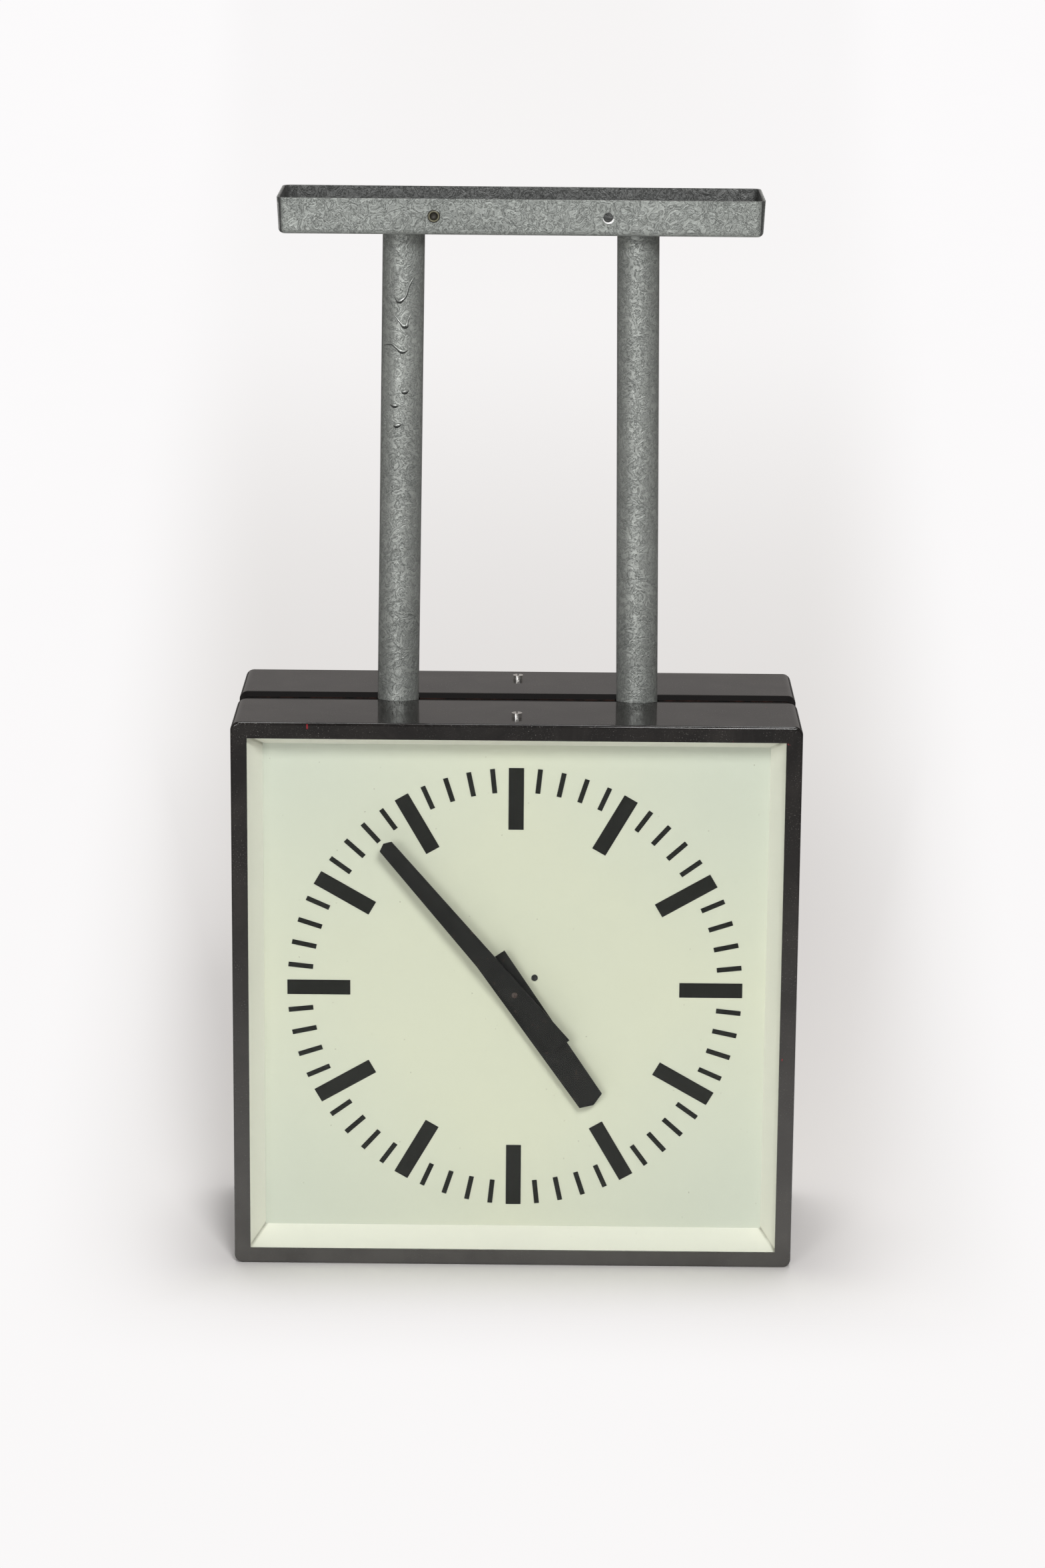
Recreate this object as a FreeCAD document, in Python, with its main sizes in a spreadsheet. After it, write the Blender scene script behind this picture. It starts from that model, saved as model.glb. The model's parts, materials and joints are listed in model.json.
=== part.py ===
import FreeCAD, Part
import Sketcher
import math
import os

# Double sided station clock: two square slave clocks stand back to back on one
# hollow frame, which hangs by two tubes from a folded steel ceiling tray.
# Millimetres, +Z up. The origin is on the floor plane under the middle of the
# frame; the front clock looks along -Y and the rear clock along +Y.
# "Forward" below is the distance from the joint between the two clocks towards
# the viewer of whichever clock is being built.

SIZES = [
    # cases
    ("case_side", 400, "outer width and height of a case"),
    ("case_corner", 6, "corner radius of a case seen from the front"),
    ("case_wall", 1.5, "sheet thickness of a case"),
    ("case_edge", 2, "rounding between bezel and sides"),
    ("joint_gap", 3, "open joint between the two cases"),
    ("rim_length", 11, "tapered stretch at the rear rim of a case"),
    ("rim_taper", 1.75, "how far the rim draws in on each side"),
    ("bezel_width", 11.5, "visible width of the bezel"),
    ("notch_clearance", 0.8, "gap around a tube where it enters the cases"),
    # glass, reveal and dial
    ("glass_thickness", 3, "front pane"),
    ("glass_overlap", 7, "pane behind the bezel on each side"),
    ("glass_corner", 2, "corner radius of the pane"),
    ("dial_setback", 27, "bezel face to dial face"),
    ("dial_overlap", 11, "dial plate behind the reveal on each side"),
    ("dial_thickness", 1.5, "dial plate"),
    ("dial_corner", 4, "corner radius of the dial plate"),
    ("dial_hole", 12, "centre hole of the dial"),
    ("reveal_inset", 9.5, "edge of the opening to the edge of the dial that shows"),
    ("reveal_play", 1.5, "mouth of the reveal outside the opening on each side"),
    ("reveal_wall", 1, "sheet thickness of the reveal"),
    ("reveal_lip", 6, "front flange of the reveal"),
    ("reveal_foot", 7, "rear flange of the reveal"),
    ("lug_width", 30, "lug that takes the case screw"),
    ("lug_reach", 12, "lug in front of the dial face"),
    ("screw_setback", 25, "bezel face to the case screw"),
    ("screw_shank", 4, "case screw"),
    ("screw_length", 9, "case screw under its head"),
    ("screw_head", 7.4, "case screw head diameter"),
    ("screw_head_height", 2.8, "case screw head"),
    ("screw_slot", 1.1, "slot width"),
    ("screw_play", 0.3, "radial play of the case screw in the case"),
    # dial marks
    ("mark_margin", 16.5, "ring of marks to the edge of the dial that shows"),
    ("bar_length", 45, "hour bar"),
    ("bar_width", 10.8, "hour bar"),
    ("minute_mark_length", 17.7, "minute mark"),
    ("minute_mark_width", 3.5, "minute mark"),
    ("mark_thickness", 0.3, "printed marks standing on the dial"),
    # hands
    ("hand_thickness", 1.2, "sheet of both hands"),
    ("minute_gap", 0.2, "tip of the minute hand to the minute marks"),
    ("minute_tail", 50.7, "minute hand behind the centre"),
    ("minute_tail_width", 17, "minute hand at its tail"),
    ("minute_tip_width", 11, "minute hand where its point starts"),
    ("minute_point", 2.6, "height of the minute hand's blunt point"),
    ("minute_lift", 16, "dial face to the front of the minute hand"),
    ("hour_gap", 16.5, "tip of the hour hand to the hour bars"),
    ("hour_tail", 30, "hour hand behind the centre"),
    ("hour_tail_width", 23, "hour hand at its tail"),
    ("hour_tip_width", 19.3, "hour hand where its point starts"),
    ("hour_point", 3.7, "height of the hour hand's blunt point"),
    ("hour_lift", 10.5, "dial face to the front of the hour hand"),
    ("bush_length", 4, "bush riveted behind each hand"),
    ("bush_wall", 3, "radial thickness of a hand bush"),
    ("minute_hand_turn", 319.75, "minute hand at rest, degrees clockwise from twelve"),
    ("full_hours", 4, "hours passed since twelve at rest"),
    ("hour_hand_lag", 1.1, "degrees that the hour hand sits behind its true place"),
    # frame between the cases
    ("frame_width", 40, "frame from front to rear"),
    ("frame_wall", 2, "frame sheet"),
    ("frame_lip", 14, "inward lips of the frame"),
    ("frame_corner", 5, "corner radius of the frame"),
    ("frame_slip", 0.3, "clearance between frame and case rims"),
    ("bar_drop", 60, "top of the frame to the top of the cross bar"),
    ("bar_depth", 15, "height of the cross bar"),
    ("bar_sheet", 2.5, "cross bar sheet"),
    ("bar_play", 0.3, "cross bar to the lips of the frame"),
    ("wall_margin", 2.45, "partition edge to the web of the frame"),
    ("wall_thickness", 1.5, "partition wall"),
    ("wall_screw_drop", 76.45, "top of the frame to the upper wall screws"),
    ("wall_screw_shank", 4, "wall screw"),
    ("wall_screw_head", 7, "wall screw head"),
    ("wall_screw_head_height", 2.4, "wall screw head"),
    ("stud_inset", 40, "edge of the dial plate to the dial studs"),
    ("stud_diameter", 8, "dial stud"),
    ("stud_thread", 5, "threaded end of a dial stud"),
    ("stud_nut_width", 8, "dial stud nut across flats"),
    ("stud_nut_height", 4, "dial stud nut"),
    # tubes and tray
    ("tube_diameter", 29.5, "hanging tube"),
    ("tube_wall", 2, "hanging tube"),
    ("tube_show", 335, "tube between case top and tray"),
    ("tube_foot_spacing", 170.8, "tube centres at the case top"),
    ("tube_head_spacing", 163.5, "tube centres under the tray"),
    ("frame_hole_play", 0.4, "gap around a tube in the frame"),
    ("tray_length", 336.7, "tray over its ends at the rim"),
    ("tray_depth", 80, "tray from front to rear"),
    ("tray_height", 25, "tray"),
    ("tray_wall", 2, "tray sheet"),
    ("tray_flare", 1.3, "how far each wall leans outwards"),
    ("tray_corner", 5, "upright corners of the tray"),
    ("tray_fold", 3.5, "rounding under the tray"),
    ("ceiling_hole", 6.8, "tapped hole in the tray wall"),
    ("ceiling_hole_spacing", 120, "tapped holes along the tray"),
    ("ceiling_hole_drop", 12, "rim to the tapped holes"),
    # movement
    ("plate_half_width", 31, "movement plates from the arbor to each side"),
    ("plate_below", 26, "movement plates below the arbor"),
    ("plate_above", 46, "movement plates above the arbor"),
    ("plate_corner", 4, "movement plates"),
    ("plate_thickness", 2, "movement plates"),
    ("plate_gap", 16, "between the movement plates"),
    ("pillar_diameter", 6, "movement pillars"),
    ("pillar_inset", 4.5, "pillar centre to the edge of the plates"),
    ("movement_clearance", 1, "partition to the terminal block"),
    ("post_length", 9, "posts between dial and movement"),
    ("post_diameter", 5, "posts between dial and movement"),
    ("post_circle", 32.8, "circle of the three dial screws"),
    ("post_turn", 59, "first dial screw, clockwise from twelve"),
    ("dial_screw", 3, "dial screw shank"),
    ("dial_screw_head", 4.6, "dial screw head"),
    ("dial_screw_head_height", 0.8, "dial screw head"),
    ("running_play", 0.05, "radial play of every turning fit"),
    ("arbor_diameter", 5, "minute arbor"),
    ("arbor_pivot", 3, "rear pivot of the minute arbor"),
    ("arbor_nose", 4, "front end of the minute arbor, in the minute hand"),
    ("pipe_wall", 1.45, "pipe of the hour wheel"),
    ("staff_diameter", 2, "arbors of intermediate wheel and rotor"),
    ("wheel_thickness", 1.5, "every toothed wheel"),
    ("wheel_play", 1, "gap between neighbouring wheels and plates"),
    ("pinion_face", 3, "length of the pinions between the plates"),
    ("train_module", 0.6, "centre wheel and its pinion"),
    ("centre_teeth", 50, "centre wheel"),
    ("centre_pinion_teeth", 10, "pinion that drives the centre wheel"),
    ("rotor_module", 0.5, "intermediate wheel and rotor pinion"),
    ("intermediate_teeth", 48, "intermediate wheel"),
    ("rotor_teeth", 8, "rotor pinion"),
    ("motion_module", 0.8, "cannon pinion and motion wheel"),
    ("cannon_teeth", 10, "cannon pinion"),
    ("motion_teeth", 30, "motion wheel"),
    ("motion_pinion_teeth", 8, "pinion of the motion wheel"),
    ("hour_teeth", 32, "hour wheel"),
    ("motion_turn", 239, "direction of the motion wheel, clockwise from twelve"),
    ("hub_diameter", 9, "hub of the centre wheel"),
    ("stud_pin", 3, "pin that carries the motion wheel"),
    ("magnet_diameter", 16, "rotor magnet"),
    ("magnet_length", 5.5, "rotor magnet"),
    ("air_gap", 0.7, "between magnet and stator"),
    ("stator_thickness", 4, "stator lamination stack"),
    ("stator_standoff", 2.5, "front plate to stator"),
    ("stator_half_width", 22, "stator"),
    ("stator_web", 2.8, "stator below the rotor hole"),
    ("pole_slot", 2, "slot between the poles"),
    ("window_low", 47, "coil window above the minute arbor"),
    ("window_height", 8, "coil window"),
    ("window_width", 28, "coil window"),
    ("leg_height", 8, "stator leg inside the coil"),
    ("bobbin_play", 0.2, "bobbin in the window"),
    ("bobbin_wall", 1, "bobbin tube"),
    ("flange_thickness", 1.5, "bobbin flange"),
    ("flange_height", 20, "bobbin flange"),
    ("flange_depth", 16, "bobbin flange"),
    ("winding_inset", 1, "winding below the edge of the flanges"),
    ("winding_corner", 3, "rounded corners of the winding"),
    ("stator_screw", 2.5, "stator screw"),
    ("stator_screw_head", 5, "stator screw head"),
    ("stator_screw_spacing", 34, "stator screws"),
    ("stator_screw_up", 44, "stator screws above the arbor"),
    ("terminal_width", 26, "terminal block"),
    ("terminal_height", 10, "terminal block"),
    ("terminal_depth", 5, "terminal block"),
    ("terminal_down", 16, "terminal block centre below the arbor"),
    ("terminal_pitch", 14, "terminal screws and coil leads"),
    ("terminal_screw", 3, "terminal screw"),
    ("lead_diameter", 1.4, "coil lead"),
    ("lead_bend", 4, "slanting run of a coil lead at its bend"),
    ("lead_setback", 2.5, "lead centre behind the movement"),
]

document = FreeCAD.newDocument("station_clock")
sheet = document.addObject("Spreadsheet::Sheet", "Sizes")


class Measure:
    """A length, angle or count with its value and its spreadsheet expression."""

    def __init__(self, text, value):
        self.text = text
        self.value = value

    def join(self, sign, other, value):
        return Measure(f"({self.text} {sign} {other.text})", value)

    def __add__(self, other):
        other = measure(other)
        return self.join("+", other, self.value + other.value)

    def __sub__(self, other):
        other = measure(other)
        return self.join("-", other, self.value - other.value)

    def __mul__(self, other):
        other = measure(other)
        return self.join("*", other, self.value * other.value)

    def __truediv__(self, other):
        other = measure(other)
        return self.join("/", other, self.value / other.value)

    def __radd__(self, other):
        return measure(other) + self

    def __rsub__(self, other):
        return measure(other) - self

    def __rmul__(self, other):
        return measure(other) * self

    def __rtruediv__(self, other):
        return measure(other) / self

    def __neg__(self):
        return Measure(f"(0 - {self.text})", -self.value)


def measure(number):
    return number if isinstance(number, Measure) else Measure(f"({number})", number)


def sine(angle):
    angle = measure(angle)
    return Measure(f"sin({angle.text})", math.sin(math.radians(angle.value)))


def cosine(angle):
    angle = measure(angle)
    return Measure(f"cos({angle.text})", math.cos(math.radians(angle.value)))


def arc_tangent(slope):
    return Measure(f"atan({slope.text})", math.degrees(math.atan(slope.value)))


class Sizes:
    """The driving dimensions by name."""


for row, (alias, number, meaning) in enumerate(SIZES, start=1):
    sheet.set(f"A{row}", meaning)
    sheet.set(f"B{row}", str(number))
    sheet.setAlias(f"B{row}", alias)
document.recompute()
for alias, number, meaning in SIZES:
    setattr(Sizes, alias, Measure(f"Sizes.{alias}", float(sheet.get(alias))))

SIDES = {"front": 0, "rear": 180}
SUBPARTS = []


# Helpers for sketches, features and places.

def bind(thing, path, size):
    thing.setExpression(path, measure(size).text)


def new_body(label):
    body = document.addObject("PartDesign::Body", label)
    body.Label = label
    return body


def finish(thing, label):
    thing.Label = label
    SUBPARTS.append(thing)
    return thing


def seat(thing, side="front", across=0, forward=0, up=0, turn=0):
    """Place a piece on its clock: turn is clockwise seen from the viewer."""
    across, forward, up, turn = (measure(size).text for size in (across, forward, up, turn))
    around = f"placement(vector(0; 0; 0); rotation(vector(0; 0; 1); {SIDES[side]}))"
    place = (
        f"placement(vector({across}; 0 - {forward}; {up} + Sizes.case_side / 2); "
        f"rotation(vector(0; 1; 0); {turn}))"
    )
    thing.setExpression("Placement", f"{around} * {place}")
    return thing


def stand(thing, across=0, back=0, up=0, turn=0):
    """Place a piece that both clocks share; turn is about Y."""
    across, back, up, turn = (measure(size).text for size in (across, back, up, turn))
    place = f"placement(vector({across}; {back}; {up}); rotation(vector(0; 1; 0); {turn}))"
    thing.setExpression("Placement", place)
    return thing


def new_sketch(body, plane, offset):
    """A sketch on a body's plane: XZ faces forward, XY up and YZ to the right."""
    sketch = body.newObject("Sketcher::SketchObject", f"{body.Name}_sketch")
    origin = [feature for feature in body.Origin.OriginFeatures if feature.Role == f"{plane}_Plane"]
    sketch.AttachmentSupport = [(origin[0], "")]
    sketch.MapMode = "FlatFace"
    bind(sketch, "AttachmentOffset.Base.z", offset)
    return sketch


def constrain(sketch, kind, *references, size):
    """Add a named dimension and bind it to the spreadsheet."""
    size = measure(size)
    index = sketch.addConstraint(Sketcher.Constraint(kind, *references, size.value))
    name = f"size{index}"
    sketch.renameConstraint(index, name)
    bind(sketch, f"Constraints.{name}", size)


def line(start, end):
    first = FreeCAD.Vector(start[0].value, start[1].value, 0)
    last = FreeCAD.Vector(end[0].value, end[1].value, 0)
    return Part.LineSegment(first, last)


def polygon(body, plane, offset, corners):
    """A closed outline with every corner held by two dimensions."""
    sketch = new_sketch(body, plane, offset)
    corners = [(measure(across), measure(up)) for across, up in corners]
    for index, corner in enumerate(corners):
        sketch.addGeometry(line(corner, corners[(index + 1) % len(corners)]), False)
    for index in range(len(corners)):
        following = (index + 1) % len(corners)
        sketch.addConstraint(Sketcher.Constraint("Coincident", index, 2, following, 1))
    for index, (across, up) in enumerate(corners):
        constrain(sketch, "DistanceX", -1, 1, index, 1, size=across)
        constrain(sketch, "DistanceY", -1, 1, index, 1, size=up)
    return sketch


def circles(body, plane, offset, rings):
    """Circles given as (across, up, diameter)."""
    sketch = new_sketch(body, plane, offset)
    for index, ring in enumerate(rings):
        across, up, diameter = (measure(size) for size in ring)
        centre = FreeCAD.Vector(across.value, up.value, 0)
        normal = FreeCAD.Vector(0, 0, 1)
        sketch.addGeometry(Part.Circle(centre, normal, diameter.value / 2), False)
        constrain(sketch, "DistanceX", -1, 1, index, 3, size=across)
        constrain(sketch, "DistanceY", -1, 1, index, 3, size=up)
        constrain(sketch, "Radius", index, size=diameter / 2)
    return sketch


def rounded(body, plane, offset, left, right, low, high, radius):
    """A rectangle with rounded corners, given by its four sides."""
    sketch = new_sketch(body, plane, offset)
    left, right, low, high, radius = (measure(size) for size in (left, right, low, high, radius))
    near, far = left + radius, right - radius
    bottom, top = low + radius, high - radius
    sides = [
        line((near, low), (far, low)),
        line((right, bottom), (right, top)),
        line((far, high), (near, high)),
        line((left, top), (left, bottom)),
    ]
    for side in sides:
        sketch.addGeometry(side, False)
    centres = [(far, bottom, -90), (far, top, 0), (near, top, 90), (near, bottom, 180)]
    for across, up, start in centres:
        centre = FreeCAD.Vector(across.value, up.value, 0)
        circle = Part.Circle(centre, FreeCAD.Vector(0, 0, 1), radius.value)
        quarter = Part.ArcOfCircle(circle, math.radians(start), math.radians(start + 90))
        sketch.addGeometry(quarter, False)
    for index in range(4):
        arc = index + 4
        sketch.addConstraint(Sketcher.Constraint("Tangent", index, 2, arc, 1))
        sketch.addConstraint(Sketcher.Constraint("Tangent", arc, 2, (index + 1) % 4, 1))
    for index, kind in enumerate(("Horizontal", "Vertical", "Horizontal", "Vertical")):
        sketch.addConstraint(Sketcher.Constraint(kind, index))
    for arc in (5, 6, 7):
        sketch.addConstraint(Sketcher.Constraint("Equal", 4, arc))
    constrain(sketch, "Radius", 4, size=radius)
    constrain(sketch, "DistanceY", -1, 1, 0, 1, size=low)
    constrain(sketch, "DistanceX", -1, 1, 1, 1, size=right)
    constrain(sketch, "DistanceY", -1, 1, 2, 1, size=high)
    constrain(sketch, "DistanceX", -1, 1, 3, 1, size=left)
    return sketch


def centred(body, plane, offset, half, radius):
    return rounded(body, plane, offset, -half, half, -half, half, radius)


def square(body, plane, offset, half):
    corners = [(-half, -half), (half, -half), (half, half), (-half, half)]
    return polygon(body, plane, offset, corners)


def pad(body, sketch, length):
    """Add material from the sketch along its normal."""
    feature = body.newObject("PartDesign::Pad", f"{body.Name}_pad")
    feature.Profile = sketch
    bind(feature, "Length", length)
    return feature


def pocket(body, sketch, length):
    """Cut from the sketch against its normal."""
    feature = body.newObject("PartDesign::Pocket", f"{body.Name}_pocket")
    feature.Profile = sketch
    bind(feature, "Length", length)
    return feature


def loft(body, kind, first, last):
    feature = body.newObject(f"PartDesign::{kind}Loft", f"{body.Name}_loft")
    feature.Profile = first
    feature.Sections = [last]
    feature.Ruled = True
    return feature


def turned(body, profile):
    """Revolve (forward, radius) points about the arbor line."""
    corners = [(-measure(forward), radius) for forward, radius in profile]
    sketch = polygon(body, "YZ", 0, corners)
    feature = body.newObject("PartDesign::Revolution", f"{body.Name}_turned")
    feature.Profile = sketch
    feature.ReferenceAxis = (sketch, ["H_Axis"])
    feature.Angle = 360
    return feature


def round_edges(body, feature, radius, wanted):
    """Fillet the edges of a feature whose two end points pass the test."""
    document.recompute()
    names = []
    for index, edge in enumerate(feature.Shape.Edges, start=1):
        if all(wanted(vertex.Point) for vertex in edge.Vertexes):
            names.append(f"Edge{index}")
    fillet = body.newObject("PartDesign::Fillet", f"{body.Name}_fillet")
    fillet.Base = (feature, names)
    bind(fillet, "Radius", radius)
    return fillet


def near(first, second, tolerance=0.01):
    return abs(first - second) < tolerance


def lay_along_arbor(solid, across, forward, up):
    """Turn an upright primitive so that it runs forward from its base."""
    across, forward, up = (measure(size).text for size in (across, forward, up))
    place = f"placement(vector({across}; 0 - {forward}; {up}); rotation(vector(1; 0; 0); 90))"
    solid.setExpression("Placement", place)
    return solid


def rod(name, diameter, forward, length, across=0, up=0):
    """A cylinder along the arbor line, from forward onwards, on a clock."""
    cylinder = document.addObject("Part::Cylinder", name)
    bind(cylinder, "Radius", measure(diameter) / 2)
    bind(cylinder, "Height", length)
    return lay_along_arbor(cylinder, across, forward, up)


def group(label, pieces):
    compound = document.addObject("Part::Compound", label)
    compound.Links = pieces
    return compound


def clock_group(side, label, pieces):
    """Several solids of one clock as one subpart."""
    finish(seat(group(f"{side}_{label}", pieces), side), f"{side}_{label}")


def joined(name, kind, first, second):
    result = document.addObject(f"Part::{kind}", name)
    result.Base = first
    result.Tool = second
    return result


# Places that several pieces share, all measured forward from the joint or from
# the minute arbor.

S = Sizes
HALF = S.case_side / 2
FRAME_FORWARD = S.frame_width / 2
WALL_FACE = FRAME_FORWARD + S.wall_thickness
BACK_REAR = WALL_FACE + S.movement_clearance + S.terminal_depth
BACK_FRONT = BACK_REAR + S.plate_thickness
PLATE_REAR = BACK_FRONT + S.plate_gap
PLATE_FRONT = PLATE_REAR + S.plate_thickness
DIAL_BACK = PLATE_FRONT + S.post_length
DIAL_FACE = DIAL_BACK + S.dial_thickness
FACE = DIAL_FACE + S.dial_setback
GLASS_BACK = FACE - S.case_wall - S.glass_thickness
RIM_FORWARD = S.joint_gap / 2 + S.rim_length
INNER_HALF = HALF - S.case_wall
OPENING_HALF = HALF - S.bezel_width
SHOWN_HALF = OPENING_HALF - S.reveal_inset
DIAL_HALF = SHOWN_HALF + S.dial_overlap
MARK_RADIUS = SHOWN_HALF - S.mark_margin
MINUTE_REACH = MARK_RADIUS - S.minute_mark_length - S.minute_gap
HOUR_REACH = MARK_RADIUS - S.bar_length - S.hour_gap
FRAME_HALF = HALF - S.rim_taper - S.case_wall - S.frame_slip
WEB_HALF = FRAME_HALF - S.frame_wall
LIP_HALF = FRAME_HALF - S.frame_lip
WALL_HALF = WEB_HALF - S.wall_margin
BAR_TOP = FRAME_HALF - S.bar_drop
TUBE_SLOPE = (S.tube_foot_spacing - S.tube_head_spacing) / 2 / S.tube_show
TUBE_BORE = S.tube_diameter - 2 * S.tube_wall
STATOR_FRONT = PLATE_REAR - S.stator_standoff
STATOR_REAR = STATOR_FRONT - S.stator_thickness
STATOR_MIDDLE = STATOR_FRONT - S.stator_thickness / 2
INTERMEDIATE_UP = S.train_module * (S.centre_teeth + S.centre_pinion_teeth) / 2
ROTOR_UP = INTERMEDIATE_UP + S.rotor_module * (S.intermediate_teeth + S.rotor_teeth) / 2
MOTION_DISTANCE = S.motion_module * (S.cannon_teeth + S.motion_teeth) / 2
HOUR_MODULE = 2 * MOTION_DISTANCE / (S.motion_pinion_teeth + S.hour_teeth)
MOTION_ACROSS = MOTION_DISTANCE * sine(S.motion_turn)
MOTION_UP = MOTION_DISTANCE * cosine(S.motion_turn)
HOUR_TURN = S.full_hours * 30 + S.minute_hand_turn / 12 - S.hour_hand_lag
CANNON_REAR = PLATE_FRONT + S.wheel_play
MOTION_WHEEL_REAR = CANNON_REAR + S.wheel_play
MOTION_WHEEL_FRONT = MOTION_WHEEL_REAR + S.wheel_thickness
HOUR_WHEEL_REAR = MOTION_WHEEL_FRONT + 2.5 * S.wheel_play
HOUR_WHEEL_FRONT = HOUR_WHEEL_REAR + S.wheel_thickness
HOUR_HAND_FRONT = DIAL_FACE + S.hour_lift
HOUR_HAND_REAR = HOUR_HAND_FRONT - S.hand_thickness
MINUTE_HAND_FRONT = DIAL_FACE + S.minute_lift
MINUTE_HAND_REAR = MINUTE_HAND_FRONT - S.hand_thickness
INTERMEDIATE_REAR = BACK_FRONT + 2 * S.wheel_play
CENTRE_WHEEL_REAR = INTERMEDIATE_REAR + S.wheel_thickness + 1.5 * S.wheel_play
MAGNET_REAR = STATOR_MIDDLE - S.magnet_length / 2
MOTION_WHEEL_TURN = S.motion_turn + 180
MOTION_PINION_TURN = MOTION_WHEEL_TURN + 180 / S.motion_pinion_teeth
PIPE_BORE = S.arbor_diameter + 2 * S.running_play
PIPE_DIAMETER = PIPE_BORE + 2 * S.pipe_wall
BUSH_LENGTH = {"minute": S.bush_length - S.wheel_play / 2, "hour": S.bush_length}
NOSE_START = MINUTE_HAND_REAR - BUSH_LENGTH["minute"]
LEG_LOW = S.window_low + S.window_height
LEG_MIDDLE = LEG_LOW + S.leg_height / 2


def tube_across(up):
    """Half the distance between the tube axes at a height above the case tops."""
    return S.tube_foot_spacing / 2 - TUBE_SLOPE * up


# Shared pieces: tray, tubes, frame and cross bar.

def ceiling_tray():
    """Pressed tray, open upwards, with flared walls and four tapped holes."""
    body = new_body("ceiling_tray")
    wall, flare = S.tray_wall, S.tray_flare
    slope = flare / S.tray_height
    across, depth = S.tray_length / 2 - flare, S.tray_depth / 2 - flare
    foot = rounded(body, "XY", 0, -across, across, -depth, depth, S.tray_corner)
    block = pad(body, foot, S.tray_height)
    bind(block, "TaperAngle", arc_tangent(slope))
    round_edges(body, block, S.tray_fold, lambda point: near(point.z, 0))
    across, depth = across + slope * wall - wall, depth + slope * wall - wall
    corner = S.tray_corner - wall
    floor = rounded(body, "XY", wall, -across, across, -depth, depth, corner)
    hollow = pocket(body, floor, S.tray_height - wall)
    hollow.Reversed = True
    bind(hollow, "TaperAngle", arc_tangent(slope))
    head = S.tube_head_spacing / 2
    cable_ways = circles(body, "XY", wall, [(-head, 0, TUBE_BORE), (head, 0, TUBE_BORE)])
    pocket(body, cable_ways, wall)
    reach = S.ceiling_hole_spacing / 2
    up = S.tray_height - S.ceiling_hole_drop
    rings = [(-reach, up, S.ceiling_hole), (reach, up, S.ceiling_hole)]
    pocket(body, circles(body, "XZ", S.tray_depth, rings), 2 * S.tray_depth)
    stand(body, up=S.case_side + S.tube_show)
    finish(body, "ceiling_tray")


def hanging_tube(label, side):
    """A round tube that leans inwards and is cut level at both ends."""
    margin = S.tube_diameter
    foot = BAR_TOP - HALF
    start = foot - margin
    length = S.tube_show - start + margin
    lean = arc_tangent(TUBE_SLOPE)
    pieces = []
    for role, diameter in (("outside", S.tube_diameter), ("bore", TUBE_BORE)):
        cylinder = document.addObject("Part::Cylinder", f"{label}_{role}")
        bind(cylinder, "Radius", diameter / 2)
        bind(cylinder, "Height", length)
        stand(cylinder, side * tube_across(start), 0, S.case_side + start, -side * lean)
        pieces.append(cylinder)
    pipe = joined(f"{label}_pipe", "Cut", *pieces)
    level = document.addObject("Part::Box", f"{label}_level_cuts")
    width = S.tube_foot_spacing * 2
    bind(level, "Length", width)
    bind(level, "Width", width)
    bind(level, "Height", S.tube_show - foot)
    stand(level, -width / 2, -width / 2, S.case_side + foot)
    finish(joined(label, "Common", pipe, level), label)


def centre_frame():
    """Square channel ring with lips turned inwards, between the two cases."""
    body = new_body("centre_frame")
    low = -INNER_HALF
    whole = rounded(
        body, "XZ", -FRAME_FORWARD, -FRAME_HALF, FRAME_HALF, low, FRAME_HALF, S.frame_corner
    )
    pad(body, whole, S.frame_width)
    lip, wall = S.frame_lip, S.frame_wall
    inner = S.frame_corner - wall
    mouth = rounded(
        body, "XZ", FRAME_FORWARD, -LIP_HALF, LIP_HALF, low + lip, LIP_HALF, inner
    )
    pocket(body, mouth, S.frame_width)
    channel = rounded(
        body, "XZ", FRAME_FORWARD - wall, -WEB_HALF, WEB_HALF, low + wall, WEB_HALF, inner
    )
    pocket(body, channel, S.frame_width - 2 * wall)
    across = tube_across(FRAME_HALF - HALF)
    hole = S.tube_diameter + 2 * S.frame_hole_play
    rings = [(-across, 0, hole), (across, 0, hole)]
    pocket(body, circles(body, "XY", FRAME_HALF + wall, rings), 3 * wall)
    screws = [(x, z, S.wall_screw_shank) for x, z in wall_screw_places()]
    pocket(body, circles(body, "XZ", FRAME_FORWARD, screws), S.frame_width)
    seat(body)
    finish(body, "centre_frame")


def wall_screw_places():
    across = (LIP_HALF + WEB_HALF) / 2
    up = FRAME_HALF - S.wall_screw_drop
    return [(x, z) for x in (-across, across) for z in (-up, up)]


def cross_bar():
    """Inverted channel across the frame; the tubes stand on it."""
    body = new_body("cross_bar")
    half = FRAME_FORWARD - S.frame_wall - S.bar_play
    sheet_inner = half - S.bar_sheet
    under = BAR_TOP - S.bar_sheet
    low = BAR_TOP - S.bar_depth
    section = [
        (-half, BAR_TOP), (-half, low), (-sheet_inner, low), (-sheet_inner, under),
        (sheet_inner, under), (sheet_inner, low), (half, low), (half, BAR_TOP),
    ]
    pad(body, polygon(body, "YZ", -WEB_HALF, section), 2 * WEB_HALF)
    across = tube_across(BAR_TOP - HALF)
    rings = [(-across, 0, TUBE_BORE), (across, 0, TUBE_BORE)]
    pocket(body, circles(body, "XY", BAR_TOP, rings), S.bar_sheet)
    seat(body)
    finish(body, "cross_bar")


# Pieces of one clock.

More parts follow.
